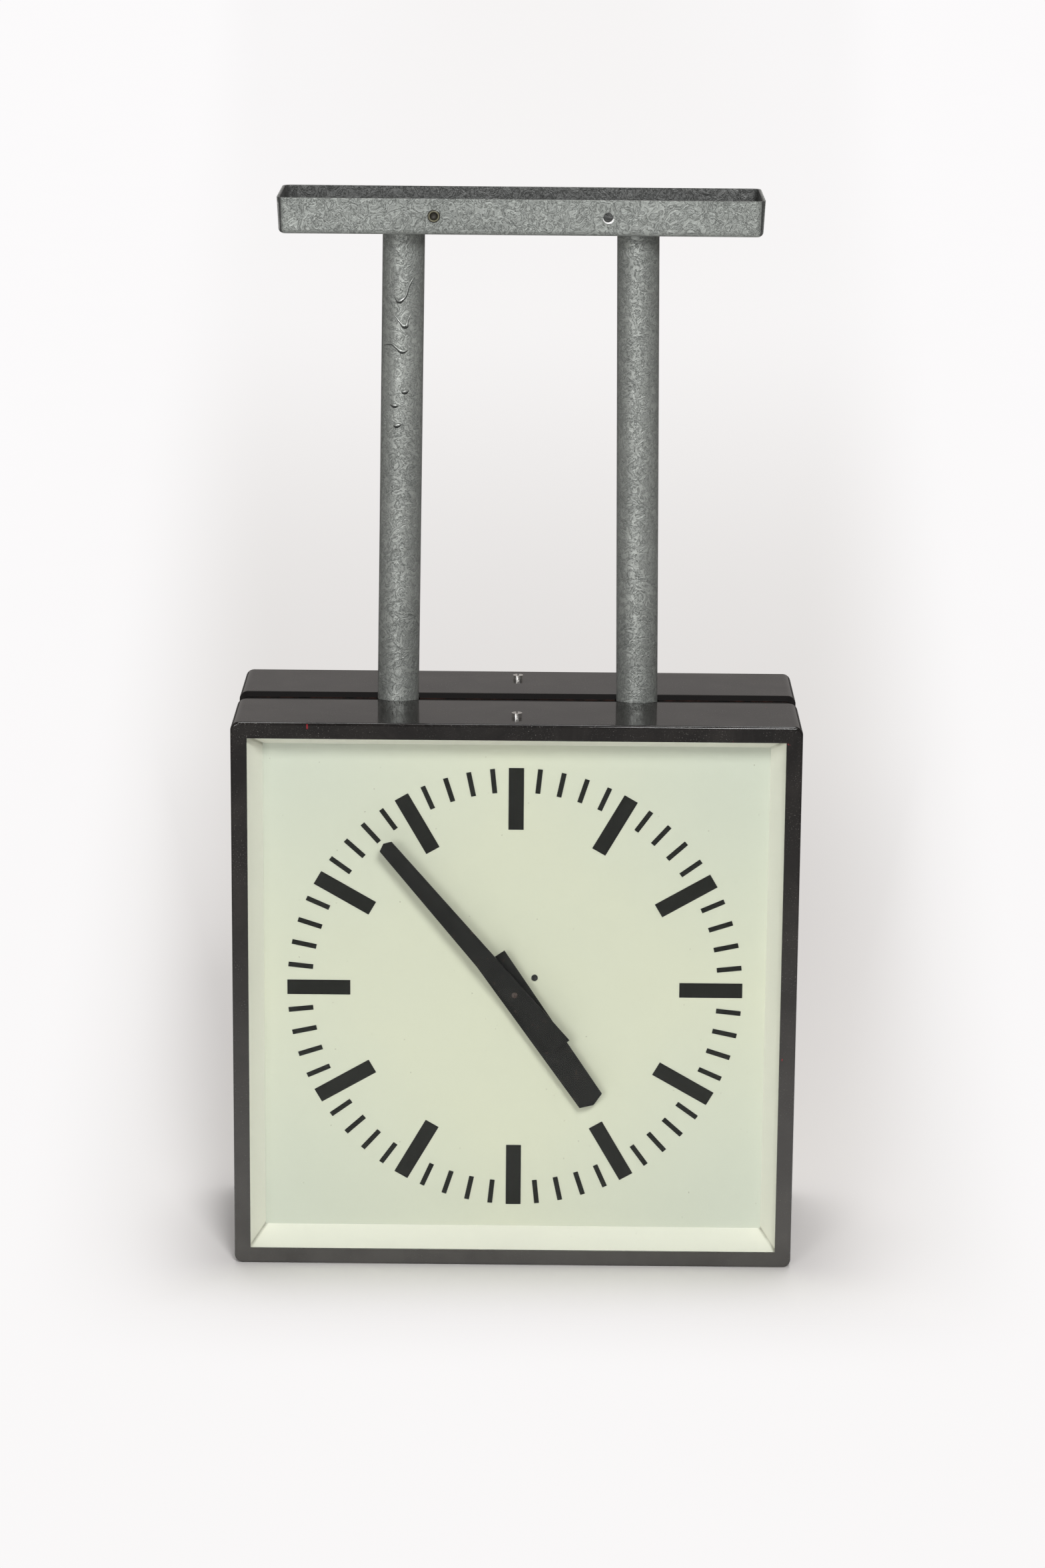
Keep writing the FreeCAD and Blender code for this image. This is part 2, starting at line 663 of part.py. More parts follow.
def case(side):
    """Sheet steel housing with a bezel in front and a drawn-in rim behind."""
    body = new_body(f"{side}_case")
    outer = centred(body, "XZ", RIM_FORWARD, HALF, S.case_corner)
    block = pad(body, outer, FACE - RIM_FORWARD)
    front = -FACE.value
    round_edges(body, block, S.case_edge, lambda point: near(point.y, front))
    rim_half = HALF - S.rim_taper
    start = centred(body, "XZ", RIM_FORWARD, HALF, S.case_corner)
    rim = rounded(
        body, "XZ", S.joint_gap / 2, -rim_half, rim_half, -HALF, rim_half, S.case_corner
    )
    loft(body, "Additive", start, rim)
    wall = S.case_wall
    inner = S.case_corner - wall
    cavity = centred(body, "XZ", FACE - wall, INNER_HALF, inner)
    pocket(body, cavity, FACE - wall - RIM_FORWARD)
    narrow = rim_half - wall
    start = centred(body, "XZ", RIM_FORWARD, INNER_HALF, inner)
    mouth = rounded(body, "XZ", S.joint_gap / 2, -narrow, narrow, -INNER_HALF, narrow, inner)
    loft(body, "Subtractive", start, mouth)
    pocket(body, square(body, "XZ", FACE, OPENING_HALF), wall)
    across = tube_across(0)
    notch = S.tube_diameter + 2 * S.notch_clearance
    screw = (0, S.screw_setback - FACE, S.screw_shank + 2 * S.screw_play)
    rings = [(-across, 0, notch), (across, 0, notch), screw]
    pocket(body, circles(body, "XY", HALF + wall, rings), 2 * wall + S.rim_taper + wall)
    seat(body, side)
    finish(body, f"{side}_case")


def case_screw(side):
    """Slotted cheese head screw through the case top into the dial lug."""
    body = new_body(f"{side}_case_screw")
    pad(body, circles(body, "XY", 0, [(0, 0, S.screw_head)]), S.screw_head_height)
    slot, reach = S.screw_slot / 2, S.screw_head
    groove = [(-slot, -reach), (slot, -reach), (slot, reach), (-slot, reach)]
    pocket(body, polygon(body, "XY", S.screw_head_height, groove), S.screw_head_height / 2)
    shank = circles(body, "XY", -S.screw_length, [(0, 0, S.screw_shank)])
    pad(body, shank, S.screw_length)
    seat(body, side, forward=FACE - S.screw_setback, up=HALF)
    finish(body, f"{side}_case_screw")


def glass(side):
    body = new_body(f"{side}_glass")
    half = OPENING_HALF + S.glass_overlap
    pad(body, centred(body, "XZ", GLASS_BACK, half, S.glass_corner), S.glass_thickness)
    seat(body, side)
    finish(body, f"{side}_glass")


def reveal(side):
    """Mitred frame that slopes from the glass down to the dial."""
    body = new_body(f"{side}_reveal")
    mouth, throat, wall = OPENING_HALF + S.reveal_play, SHOWN_HALF, S.reveal_wall
    front = square(body, "XZ", GLASS_BACK, mouth + wall)
    rear = square(body, "XZ", DIAL_FACE, throat + wall)
    loft(body, "Additive", rear, front)
    pad(body, square(body, "XZ", GLASS_BACK - wall, mouth + S.reveal_lip), wall)
    pad(body, square(body, "XZ", DIAL_FACE, throat + S.reveal_foot), wall)
    front = square(body, "XZ", GLASS_BACK, mouth)
    rear = square(body, "XZ", DIAL_FACE, throat)
    loft(body, "Subtractive", rear, front)
    seat(body, side)
    finish(body, f"{side}_reveal")


def post_places():
    radius = S.post_circle / 2
    turns = [S.post_turn + step for step in (0, 120, 240)]
    return [(radius * sine(turn), radius * cosine(turn)) for turn in turns]


def dial(side):
    """Dial plate with a bent lug at its top edge for the case screw."""
    body = new_body(f"{side}_dial")
    half = DIAL_HALF
    pad(body, centred(body, "XZ", DIAL_BACK, half, S.dial_corner), S.dial_thickness)
    sheet_up = S.dial_thickness
    tip = DIAL_FACE + S.lug_reach
    section = [
        (-DIAL_BACK, half - S.dial_corner), (-DIAL_BACK, INNER_HALF), (-tip, INNER_HALF),
        (-tip, INNER_HALF - sheet_up), (-DIAL_FACE, INNER_HALF - sheet_up),
        (-DIAL_FACE, half - S.dial_corner),
    ]
    pad(body, polygon(body, "YZ", -S.lug_width / 2, section), S.lug_width)
    thread = (0, S.screw_setback - FACE, S.screw_shank + 2 * S.running_play)
    pocket(body, circles(body, "XY", INNER_HALF + sheet_up, [thread]), 3 * sheet_up)
    rings = [(0, 0, S.dial_hole)]
    for across, up in post_places():
        rings.append((across, up, S.dial_screw + 2 * S.running_play))
    pocket(body, circles(body, "XZ", DIAL_FACE, rings), S.dial_thickness)
    seat(body, side)
    finish(body, f"{side}_dial")


def dial_marks(side):
    """Twelve hour bars and forty-eight minute marks."""
    marks = []
    for minute in range(60):
        is_hour = minute % 5 == 0
        width = S.bar_width if is_hour else S.minute_mark_width
        length = S.bar_length if is_hour else S.minute_mark_length
        mark = document.addObject("Part::Box", f"{side}_mark_{minute}")
        bind(mark, "Length", width)
        bind(mark, "Width", S.mark_thickness)
        bind(mark, "Height", length)
        inner = (MARK_RADIUS - length).text
        turn = f"placement(vector(0; 0; 0); rotation(vector(0; 1; 0); {6 * minute}))"
        start = f"vector(0 - {width.text} / 2; 0 - {S.mark_thickness.text}; {inner})"
        flat = "rotation(vector(0; 1; 0); 0)"
        mark.setExpression("Placement", f"{turn} * placement({start}; {flat})")
        marks.append(mark)
    label = f"{side}_dial_marks"
    finish(seat(group(label, marks), side, forward=DIAL_FACE), label)


def hand(side, kind):
    """Tapering sheet hand with a blunt point, riveted to a bush."""
    body = new_body(f"{side}_{kind}_hand")
    if kind == "minute":
        tail, reach, point = S.minute_tail, MINUTE_REACH, S.minute_point
        wide, narrow = S.minute_tail_width / 2, S.minute_tip_width / 2
        rear, bore, turn = MINUTE_HAND_REAR, S.arbor_nose, S.minute_hand_turn
    else:
        tail, reach, point = S.hour_tail, HOUR_REACH, S.hour_point
        wide, narrow = S.hour_tail_width / 2, S.hour_tip_width / 2
        rear, bore, turn = HOUR_HAND_REAR, PIPE_DIAMETER, HOUR_TURN
    bush = BUSH_LENGTH[kind]
    outline = [
        (-wide, -tail), (wide, -tail), (narrow, reach - point), (0, reach), (-narrow, reach - point)
    ]
    pad(body, polygon(body, "XZ", rear, outline), S.hand_thickness)
    bush_diameter = bore + 2 * S.bush_wall
    pad(body, circles(body, "XZ", rear - bush, [(0, 0, bush_diameter)]), bush)
    hole = circles(body, "XZ", rear + S.hand_thickness, [(0, 0, bore)])
    pocket(body, hole, S.hand_thickness + bush)
    seat(body, side, turn=turn)
    finish(body, f"{side}_{kind}_hand")


def minute_arbor(side):
    """Stepped arbor from the back plate's pivot hole to the minute hand."""
    body = new_body(f"{side}_minute_arbor")
    pivot, barrel, nose = S.arbor_pivot / 2, S.arbor_diameter / 2, S.arbor_nose / 2
    shoulder = BACK_FRONT + S.wheel_play / 3
    start, end = BACK_REAR - S.wheel_play, MINUTE_HAND_FRONT + S.hand_thickness / 2
    turned(body, [
        (start, 0), (start, pivot), (shoulder, pivot), (shoulder, barrel),
        (NOSE_START, barrel), (NOSE_START, nose), (end, nose), (end, 0),
    ])
    seat(body, side)
    finish(body, f"{side}_minute_arbor")


# Toothed wheels. A tooth has straight flanks: its thickness at tip and root is
# a share of the pitch, slimmer on pinions, which leaves the backlash that a
# clock train has. Every wheel starts with a gap at twelve o'clock.

ADDENDUM = 0.75
DEDENDUM = 1.0
TIP_SHARE = {"wheel": 0.30, "pinion": 0.28}
ROOT_SHARE = {"wheel": 0.55, "pinion": 0.40}


def toothed(kind, teeth, module, thickness, rear=0):
    """A toothed disc about the Y axis, from rear forwards."""
    teeth = round(teeth)
    pitch_radius = teeth * module / 2
    tip = pitch_radius + ADDENDUM * module
    root = pitch_radius - DEDENDUM * module
    pitch = 2 * math.pi / teeth
    tip_turn = pitch / 2 - TIP_SHARE[kind] * math.pi * module / 2 / tip
    root_turn = pitch / 2 - ROOT_SHARE[kind] * math.pi * module / 2 / root
    corners = []
    for tooth in range(teeth):
        gap = tooth * pitch
        flanks = [
            (root, gap - root_turn), (root, gap + root_turn),
            (tip, gap + tip_turn), (tip, gap + pitch - tip_turn),
        ]
        for radius, turn in flanks:
            corners.append(
                FreeCAD.Vector(radius * math.sin(turn), -rear, radius * math.cos(turn))
            )
    wire = Part.makePolygon(corners + corners[:1])
    return Part.Face(wire).extrude(FreeCAD.Vector(0, -thickness, 0))


def barrel(diameter, rear, front):
    start = FreeCAD.Vector(0, -rear, 0)
    return Part.makeCylinder(diameter / 2, front - rear, start, FreeCAD.Vector(0, -1, 0))


def crossed_out(solid, inner, outer, thickness, arms=4):
    """Cut the windows between the arms of a wheel."""
    depth = FreeCAD.Vector(0, -thickness, 0)
    window = Part.makeCylinder(outer, thickness, FreeCAD.Vector(0, 0, 0), depth)
    window = window.cut(Part.makeCylinder(inner, thickness, FreeCAD.Vector(0, 0, 0), depth))
    for arm in range(arms):
        spoke = Part.makeBox(inner * 0.8, thickness, outer * 2)
        spoke.translate(FreeCAD.Vector(-inner * 0.4, -thickness, 0))
        spoke.rotate(FreeCAD.Vector(0, 0, 0), FreeCAD.Vector(0, 1, 0), 360 / arms * arm)
        window = window.cut(spoke)
    return solid.cut(window)


def feature(label, shape):
    solid = document.addObject("Part::Feature", label)
    solid.Shape = shape.removeSplitter()
    return solid


def centre_wheel(side):
    """Crossed-out wheel on the minute arbor, with its hub."""
    thickness, bore = S.wheel_thickness.value, S.arbor_diameter.value
    teeth, module = S.centre_teeth.value, S.train_module.value
    rim = module * (teeth / 2 - 1) - 1.5 * thickness
    hub = S.hub_diameter.value
    wheel = toothed("wheel", teeth, module, thickness)
    wheel = crossed_out(wheel, hub / 2 + thickness / 2, rim, thickness)
    overhang = S.wheel_play.value
    wheel = wheel.fuse(barrel(hub, -overhang, thickness + overhang))
    wheel = wheel.cut(barrel(bore, -2 * overhang, thickness + 2 * overhang))
    solid = feature(f"{side}_centre_wheel", wheel)
    seat(solid, side, forward=CENTRE_WHEEL_REAR)
    finish(solid, f"{side}_centre_wheel")


def cannon_pinion(side):
    length = S.wheel_thickness.value + 2 * S.wheel_play.value
    pinion = toothed("pinion", S.cannon_teeth.value, S.motion_module.value, length)
    pinion = pinion.cut(barrel(S.arbor_diameter.value, -length, 2 * length))
    solid = feature(f"{side}_cannon_pinion", pinion)
    seat(solid, side, forward=CANNON_REAR, turn=S.motion_turn + 180 / S.cannon_teeth)
    finish(solid, f"{side}_cannon_pinion")


def motion_wheel(side):
    """Wheel and pinion in one, turning on a pin of the front plate."""
    thickness = S.wheel_thickness.value
    wheel = toothed("wheel", S.motion_teeth.value, S.motion_module.value, thickness)
    front = (HOUR_WHEEL_FRONT - MOTION_WHEEL_REAR).value + S.wheel_play.value / 2
    teeth, module = S.motion_pinion_teeth.value, HOUR_MODULE.value
    pinion = toothed("pinion", teeth, module, front - thickness, thickness)
    # Both tooth rings share one gap at twelve, so the pair needs its own turn.
    own_turn = MOTION_PINION_TURN.value - MOTION_WHEEL_TURN.value
    pinion.rotate(FreeCAD.Vector(0, 0, 0), FreeCAD.Vector(0, 1, 0), own_turn)
    wheel = wheel.fuse(pinion)
    bore = S.stud_pin.value + 2 * S.running_play.value
    wheel = wheel.cut(barrel(bore, -thickness, front + thickness))
    solid = feature(f"{side}_motion_wheel", wheel)
    seat(
        solid, side, across=MOTION_ACROSS, forward=MOTION_WHEEL_REAR, up=MOTION_UP,
        turn=MOTION_WHEEL_TURN,
    )
    finish(solid, f"{side}_motion_wheel")


def hour_wheel(side):
    """Hour wheel with the pipe that carries the hour hand."""
    thickness = S.wheel_thickness.value
    wheel = toothed("wheel", S.hour_teeth.value, HOUR_MODULE.value, thickness)
    length = (HOUR_HAND_FRONT - HOUR_WHEEL_REAR).value
    wheel = wheel.fuse(barrel(PIPE_DIAMETER.value, 0, length))
    wheel = wheel.cut(barrel(PIPE_BORE.value, -thickness, length + thickness))
    solid = feature(f"{side}_hour_wheel", wheel)
    seat(solid, side, forward=HOUR_WHEEL_REAR, turn=S.motion_turn)
    finish(solid, f"{side}_hour_wheel")


def intermediate_wheel(side):
    """Wheel driven by the rotor, with the pinion that drives the centre wheel."""
    thickness, staff = S.wheel_thickness.value, S.staff_diameter.value
    wheel = toothed("wheel", S.intermediate_teeth.value, S.rotor_module.value, thickness)
    teeth, module = S.centre_pinion_teeth.value, S.train_module.value
    rear = (CENTRE_WHEEL_REAR - INTERMEDIATE_REAR).value - S.wheel_play.value / 2
    pinion = toothed("pinion", teeth, module, S.pinion_face.value - S.wheel_play.value / 2, rear)
    pinion.rotate(FreeCAD.Vector(0, 0, 0), FreeCAD.Vector(0, 1, 0), 180 + 180 / teeth)
    hub = barrel(module * (teeth - 3), 0, rear)
    start = (BACK_REAR - INTERMEDIATE_REAR).value
    end = (PLATE_FRONT - INTERMEDIATE_REAR).value
    wheel = wheel.fuse([hub, pinion, barrel(staff, start, end)])
    solid = feature(f"{side}_intermediate_wheel", wheel)
    seat(solid, side, forward=INTERMEDIATE_REAR, up=INTERMEDIATE_UP)
    finish(solid, f"{side}_intermediate_wheel")


def rotor(side):
    """Round two-pole magnet on a staff with the first pinion."""
    staff = S.staff_diameter.value
    teeth, module = S.rotor_teeth.value, S.rotor_module.value
    pinion = toothed("pinion", teeth, module, S.pinion_face.value)
    pinion.rotate(FreeCAD.Vector(0, 0, 0), FreeCAD.Vector(0, 1, 0), 180 + 180 / teeth)
    pinion_rear = INTERMEDIATE_REAR - S.wheel_play / 2
    pinion.translate(FreeCAD.Vector(0, (MAGNET_REAR - pinion_rear).value, 0))
    magnet = barrel(S.magnet_diameter.value, 0, S.magnet_length.value)
    start = (BACK_REAR - MAGNET_REAR).value
    end = (PLATE_FRONT - MAGNET_REAR).value
    body = magnet.fuse([pinion, barrel(staff, start, end)])
    solid = feature(f"{side}_rotor", body)
    seat(solid, side, forward=MAGNET_REAR, up=ROTOR_UP)
    finish(solid, f"{side}_rotor")


# Fixed pieces of a movement.

def pillar_places():
    across = S.plate_half_width - S.pillar_inset
    heights = (S.pillar_inset - S.plate_below, S.plate_above - S.pillar_inset)
    return [(x, z) for x in (-across, across) for z in heights]


def stator_screw_places():
    across = S.stator_screw_spacing / 2
    return [(-across, S.stator_screw_up), (across, S.stator_screw_up)]


def plate_outline(body, forward):
    half = S.plate_half_width
    return rounded(body, "XZ", forward, -half, half, -S.plate_below, S.plate_above, S.plate_corner)


def front_plate(side):
    """Movement plate behind the dial, with the motion pin and stator bosses."""
    body = new_body(f"{side}_movement_plate")
    pad(body, plate_outline(body, PLATE_REAR), S.plate_thickness)
    staff = S.staff_diameter + 2 * S.running_play
    holes = [(0, 0, PIPE_BORE), (0, INTERMEDIATE_UP, staff), (0, ROTOR_UP, staff)]
    pocket(body, circles(body, "XZ", PLATE_FRONT, holes), S.plate_thickness)
    pin = circles(body, "XZ", PLATE_FRONT, [(MOTION_ACROSS, MOTION_UP, S.stud_pin)])
    pad(body, pin, S.post_length - S.wheel_play / 2)
    bosses = [(x, z, 2 * S.stator_screw) for x, z in stator_screw_places()]
    pad(body, circles(body, "XZ", STATOR_FRONT, bosses), S.stator_standoff)
    seat(body, side)
    finish(body, f"{side}_movement_plate")


def back_plate(side):
    """Movement plate at the rear with the pivot holes."""
    body = new_body(f"{side}_movement_back_plate")
    pad(body, plate_outline(body, BACK_REAR), S.plate_thickness)
    play = 2 * S.running_play
    staff = S.staff_diameter + play
    holes = [(0, 0, S.arbor_pivot + play), (0, INTERMEDIATE_UP, staff), (0, ROTOR_UP, staff)]
    pocket(body, circles(body, "XZ", BACK_FRONT, holes), S.plate_thickness)
    seat(body, side)
    finish(body, f"{side}_movement_back_plate")


def movement_pillars(side):
    """Four pillars between the plates and three drilled posts to the dial."""
    pieces = []
    for index, (across, up) in enumerate(pillar_places()):
        name = f"{side}_movement_pillar_{index}"
        pieces.append(rod(name, S.pillar_diameter, BACK_FRONT, S.plate_gap, across, up))
    for index, (across, up) in enumerate(post_places()):
        name = f"{side}_movement_post_{index}"
        outside = rod(f"{name}_outside", S.post_diameter, PLATE_FRONT, S.post_length, across, up)
        depth = S.post_length / 2 + S.wheel_play
        bore = S.dial_screw + 2 * S.running_play
        hole = rod(f"{name}_bore", bore, DIAL_BACK - depth, depth, across, up)
        pieces.append(joined(name, "Cut", outside, hole))
    clock_group(side, "movement_pillars", pieces)


def screw(name, head, head_height, shank, length, seat_forward, across, up, facing=1):
    """Cheese head screw whose head rests at seat_forward; facing -1 looks rearwards."""
    if facing > 0:
        head_start, shank_start = seat_forward, seat_forward - length
    else:
        head_start, shank_start = seat_forward - head_height, seat_forward
    top = rod(f"{name}_head", head, head_start, head_height, across, up)
    stem = rod(f"{name}_shank", shank, shank_start, length, across, up)
    return joined(name, "Fuse", top, stem)


def terminal_places():
    reach = S.terminal_pitch / 2
    return [(across, -S.terminal_down) for across in (-reach, reach)]


def movement_screws(side):
    """Dial screws, stator screws and terminal screws."""
    pieces = []
    length = S.dial_thickness + S.post_length / 2
    for index, (across, up) in enumerate(post_places()):
        name = f"{side}_dial_screw_{index}"
        head, height = S.dial_screw_head, S.dial_screw_head_height
        pieces.append(screw(name, head, height, S.dial_screw, length, DIAL_FACE, across, up))
    for index, (across, up) in enumerate(stator_screw_places()):
        name = f"{side}_stator_screw_{index}"
        head, shank = S.stator_screw_head, S.stator_screw
        length = S.stator_thickness
        pieces.append(screw(name, head, shank, shank, length, STATOR_REAR, across, up, -1))
    start = BACK_REAR - S.terminal_depth / 2 - S.wheel_play
    for index, (across, up) in enumerate(terminal_places()):
        name = f"{side}_terminal_screw_{index}"
        pieces.append(rod(name, S.terminal_screw, start, S.wheel_play, across, up))
    clock_group(side, "movement_screws", pieces)


def stator(side):
    """Laminated stator: a C round the rotor with a leg for the coil."""
    body = new_body(f"{side}_stator")
    half = S.stator_half_width
    hole = S.magnet_diameter + 2 * S.air_gap
    low = ROTOR_UP - hole / 2 - S.stator_web
    high = LEG_LOW + S.leg_height
    outline = [(-half, low), (half, low), (half, high), (-half, high)]
    pad(body, polygon(body, "XZ", STATOR_REAR, outline), S.stator_thickness)
    rings = [(0, ROTOR_UP, hole)]
    pocket(body, circles(body, "XZ", STATOR_FRONT, rings), S.stator_thickness)
    screws = [(x, z, S.stator_screw) for x, z in stator_screw_places()]
    pocket(body, circles(body, "XZ", STATOR_FRONT, screws), S.stator_thickness)
    slot, wide = S.pole_slot / 2, S.window_width / 2
    opening = [
        (-slot, low - slot), (slot, low - slot), (slot, S.window_low), (wide, S.window_low),
        (wide, LEG_LOW), (-wide, LEG_LOW), (-wide, S.window_low), (-slot, S.window_low),
    ]
    pocket(body, polygon(body, "XZ", STATOR_FRONT, opening), S.stator_thickness)
    seat(body, side)
    finish(body, f"{side}_stator")


def coil_box(name, length, height, depth):
    """A block round the stator leg, centred on it."""
    block = document.addObject("Part::Box", name)
    bind(block, "Length", length)
    bind(block, "Width", depth)
    bind(block, "Height", height)
    stand(block, -length / 2, -STATOR_MIDDLE - depth / 2, LEG_MIDDLE - height / 2)
    return block


def coil(side):
    """Flanged bobbin on the stator leg and the winding between its flanges."""
    length = S.window_width - 2 * S.bobbin_play
    space = length - 2 * S.flange_thickness
    core_height = S.leg_height + 2 * S.bobbin_wall
    core_depth = S.stator_thickness + 2 * S.bobbin_wall
    name = f"{side}_coil_bobbin"
    block = coil_box(f"{name}_block", length, S.flange_height, S.flange_depth)
    room = coil_box(f"{name}_room", space, S.flange_height * 2, S.flange_depth * 2)
    flanges = joined(f"{name}_flanges", "Cut", block, room)
    core = coil_box(f"{name}_core", length, core_height, core_depth)
    spool = joined(f"{name}_spool", "Fuse", flanges, core)
    leg = coil_box(f"{name}_leg", length * 2, S.leg_height, S.stator_thickness)
    finish(seat(joined(name, "Cut", spool, leg), side), name)
    name = f"{side}_coil_winding"
    height = S.flange_height - 2 * S.winding_inset
    depth = S.flange_depth - 2 * S.winding_inset
    body = new_body(name)
    low, high = LEG_MIDDLE - height / 2, LEG_MIDDLE + height / 2
    rear, front = -STATOR_MIDDLE - depth / 2, depth / 2 - STATOR_MIDDLE
    pad(body, rounded(body, "YZ", -space / 2, rear, front, low, high, S.winding_corner), space)
    inner = [
        (-STATOR_MIDDLE - core_depth / 2, LEG_MIDDLE - core_height / 2),
        (core_depth / 2 - STATOR_MIDDLE, LEG_MIDDLE - core_height / 2),
        (core_depth / 2 - STATOR_MIDDLE, LEG_MIDDLE + core_height / 2),
        (-STATOR_MIDDLE - core_depth / 2, LEG_MIDDLE + core_height / 2),
    ]
    pocket(body, polygon(body, "YZ", space / 2, inner), space)
    finish(seat(body, side), name)


def terminal_block(side):
    """Two-pole terminal block on the rear of the movement."""
    body = new_body(f"{side}_terminal_block")
    half, tall = S.terminal_width / 2, S.terminal_height / 2
    low, high = -S.terminal_down - tall, tall - S.terminal_down
    outline = [(-half, low), (half, low), (half, high), (-half, high)]
    rear = BACK_REAR - S.terminal_depth
    pad(body, polygon(body, "XZ", rear, outline), S.terminal_depth)
    wells = [(x, z, 1.5 * S.terminal_screw) for x, z in terminal_places()]
    depth = S.terminal_depth / 2
    pocket(body, circles(body, "XZ", rear + depth, wells), depth)
    seat(body, side)
    finish(body, f"{side}_terminal_block")


def coil_leads(side):
    """Two insulated leads from the winding down to the terminal block."""
    start_forward = STATOR_MIDDLE - S.flange_depth / 2 + S.winding_inset
    run_forward = BACK_REAR - S.lead_setback
    start_up = LEG_MIDDLE - S.flange_height / 4
    end_up = S.terminal_height / 2 - S.terminal_down
    leads = []
    for index, sign in enumerate((-1, 1)):
        body = new_body(f"{side}_coil_lead_{index}")
        across = sign * S.terminal_pitch / 2
        corner, bend = -run_forward, S.lead_bend
        path = new_sketch(body, "YZ", across)
        route = [
            (-start_forward, start_up), (corner - bend, start_up),
            (corner, start_up - bend), (corner, end_up),
        ]
        for first, last in zip(route, route[1:]):
            path.addGeometry(line(first, last), False)
        for run in range(2):
            path.addConstraint(Sketcher.Constraint("Coincident", run, 2, run + 1, 1))
            constrain(path, "DistanceX", -1, 1, run, 1, size=route[run][0])
            constrain(path, "DistanceY", -1, 1, run, 1, size=route[run][1])
        for point, (along, up) in ((1, route[2]), (2, route[3])):
            constrain(path, "DistanceX", -1, 1, 2, point, size=along)
            constrain(path, "DistanceY", -1, 1, 2, point, size=up)
        section = circles(body, "XZ", start_forward, [(across, start_up, S.lead_diameter)])
        pipe = body.newObject("PartDesign::AdditivePipe", f"{body.Name}_pipe")
        pipe.Profile = section
        pipe.Spine = path
        pipe.Transition = "Right corner"
        leads.append(body)
    clock_group(side, "coil_leads", leads)


# Pieces that carry the dial on the frame.

def partition(side):
    """Sheet wall screwed to the lips of the frame, behind a movement."""
    body = new_body(f"{side}_partition")
    outline = centred(body, "XZ", FRAME_FORWARD, WALL_HALF, S.frame_corner)
    pad(body, outline, S.wall_thickness)
    rings = [(x, z, S.stud_thread) for x, z in stud_places()]
    rings += [(x, z, S.wall_screw_shank) for x, z in wall_screw_places()]
    rings.append((0, BAR_TOP / 2, S.tube_diameter))
    pocket(body, circles(body, "XZ", WALL_FACE, rings), S.wall_thickness)
    seat(body, side)
    finish(body, f"{side}_partition")


def partition_screws(side):
    screws = []
    length = S.wall_thickness + S.frame_wall
    for index, (across, up) in enumerate(wall_screw_places()):
        name = f"{side}_partition_screw_{index}"
        head, height = S.wall_screw_head, S.wall_screw_head_height
        shank = S.wall_screw_shank
        screws.append(screw(name, head, height, shank, length, WALL_FACE, across, up))
    clock_group(side, "partition_screws", screws)


def stud_places():
    reach = DIAL_HALF - S.stud_inset
    return [(x, z) for x in (-reach, reach) for z in (-reach, reach)]


def dial_studs(side):
    """Four shouldered studs between partition and dial, each with its nut."""
    pieces = []
    rear = FRAME_FORWARD - S.stud_nut_height
    for index, (x, z) in enumerate(stud_places()):
        name = f"{side}_dial_stud_{index}"
        shoulder = rod(f"{name}_shoulder", S.stud_diameter, WALL_FACE, DIAL_BACK - WALL_FACE, x, z)
        start = rear - S.wheel_play
        thread = rod(f"{name}_thread", S.stud_thread, start, WALL_FACE - start, x, z)
        pieces.append(joined(name, "Fuse", shoulder, thread))
        name = f"{side}_stud_nut_{index}"
        hexagon = document.addObject("Part::Prism", f"{name}_hexagon")
        hexagon.Polygon = 6
        bind(hexagon, "Circumradius", S.stud_nut_width / 2 / cosine(30))
        bind(hexagon, "Height", S.stud_nut_height)
        lay_along_arbor(hexagon, x, rear, z)
        hole = rod(f"{name}_hole", S.stud_thread, rear, S.stud_nut_height, x, z)
        pieces.append(joined(name, "Cut", hexagon, hole))
    clock_group(side, "dial_studs", pieces)


ceiling_tray()
hanging_tube("left_tube", -1)
hanging_tube("right_tube", 1)
centre_frame()
cross_bar()
for clock in SIDES:
    case(clock)
    case_screw(clock)
    glass(clock)
    reveal(clock)
    dial(clock)
    dial_marks(clock)
    hand(clock, "minute")
    hand(clock, "hour")
    minute_arbor(clock)
    centre_wheel(clock)
    cannon_pinion(clock)
    motion_wheel(clock)
    hour_wheel(clock)
    intermediate_wheel(clock)
    rotor(clock)
    front_plate(clock)
    back_plate(clock)
    movement_pillars(clock)
    movement_screws(clock)
    stator(clock)
    coil(clock)
    terminal_block(clock)
    coil_leads(clock)
    partition(clock)
    partition_screws(clock)
    dial_studs(clock)
document.recompute()

# Nothing is written unless every object is sound.

for thing in document.Objects:
    if "Invalid" in thing.State or "Error" in thing.State:
        raise RuntimeError(f"{thing.Label} failed: {thing.State}")
for thing in SUBPARTS:
    if thing.Shape.isNull() or not thing.Shape.isValid():
        raise RuntimeError(f"{thing.Label} has no valid shape")

os.makedirs("parts", exist_ok=True)
for thing in SUBPARTS:
    thing.Shape.exportStep(f"parts/{thing.Label}.step")
    print(f"{thing.Label}: {len(thing.Shape.Solids)} solids, {thing.Shape.Volume:.1f} mm3")
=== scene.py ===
import json
import math

import bmesh
import bpy
from mathutils import Matrix, Vector


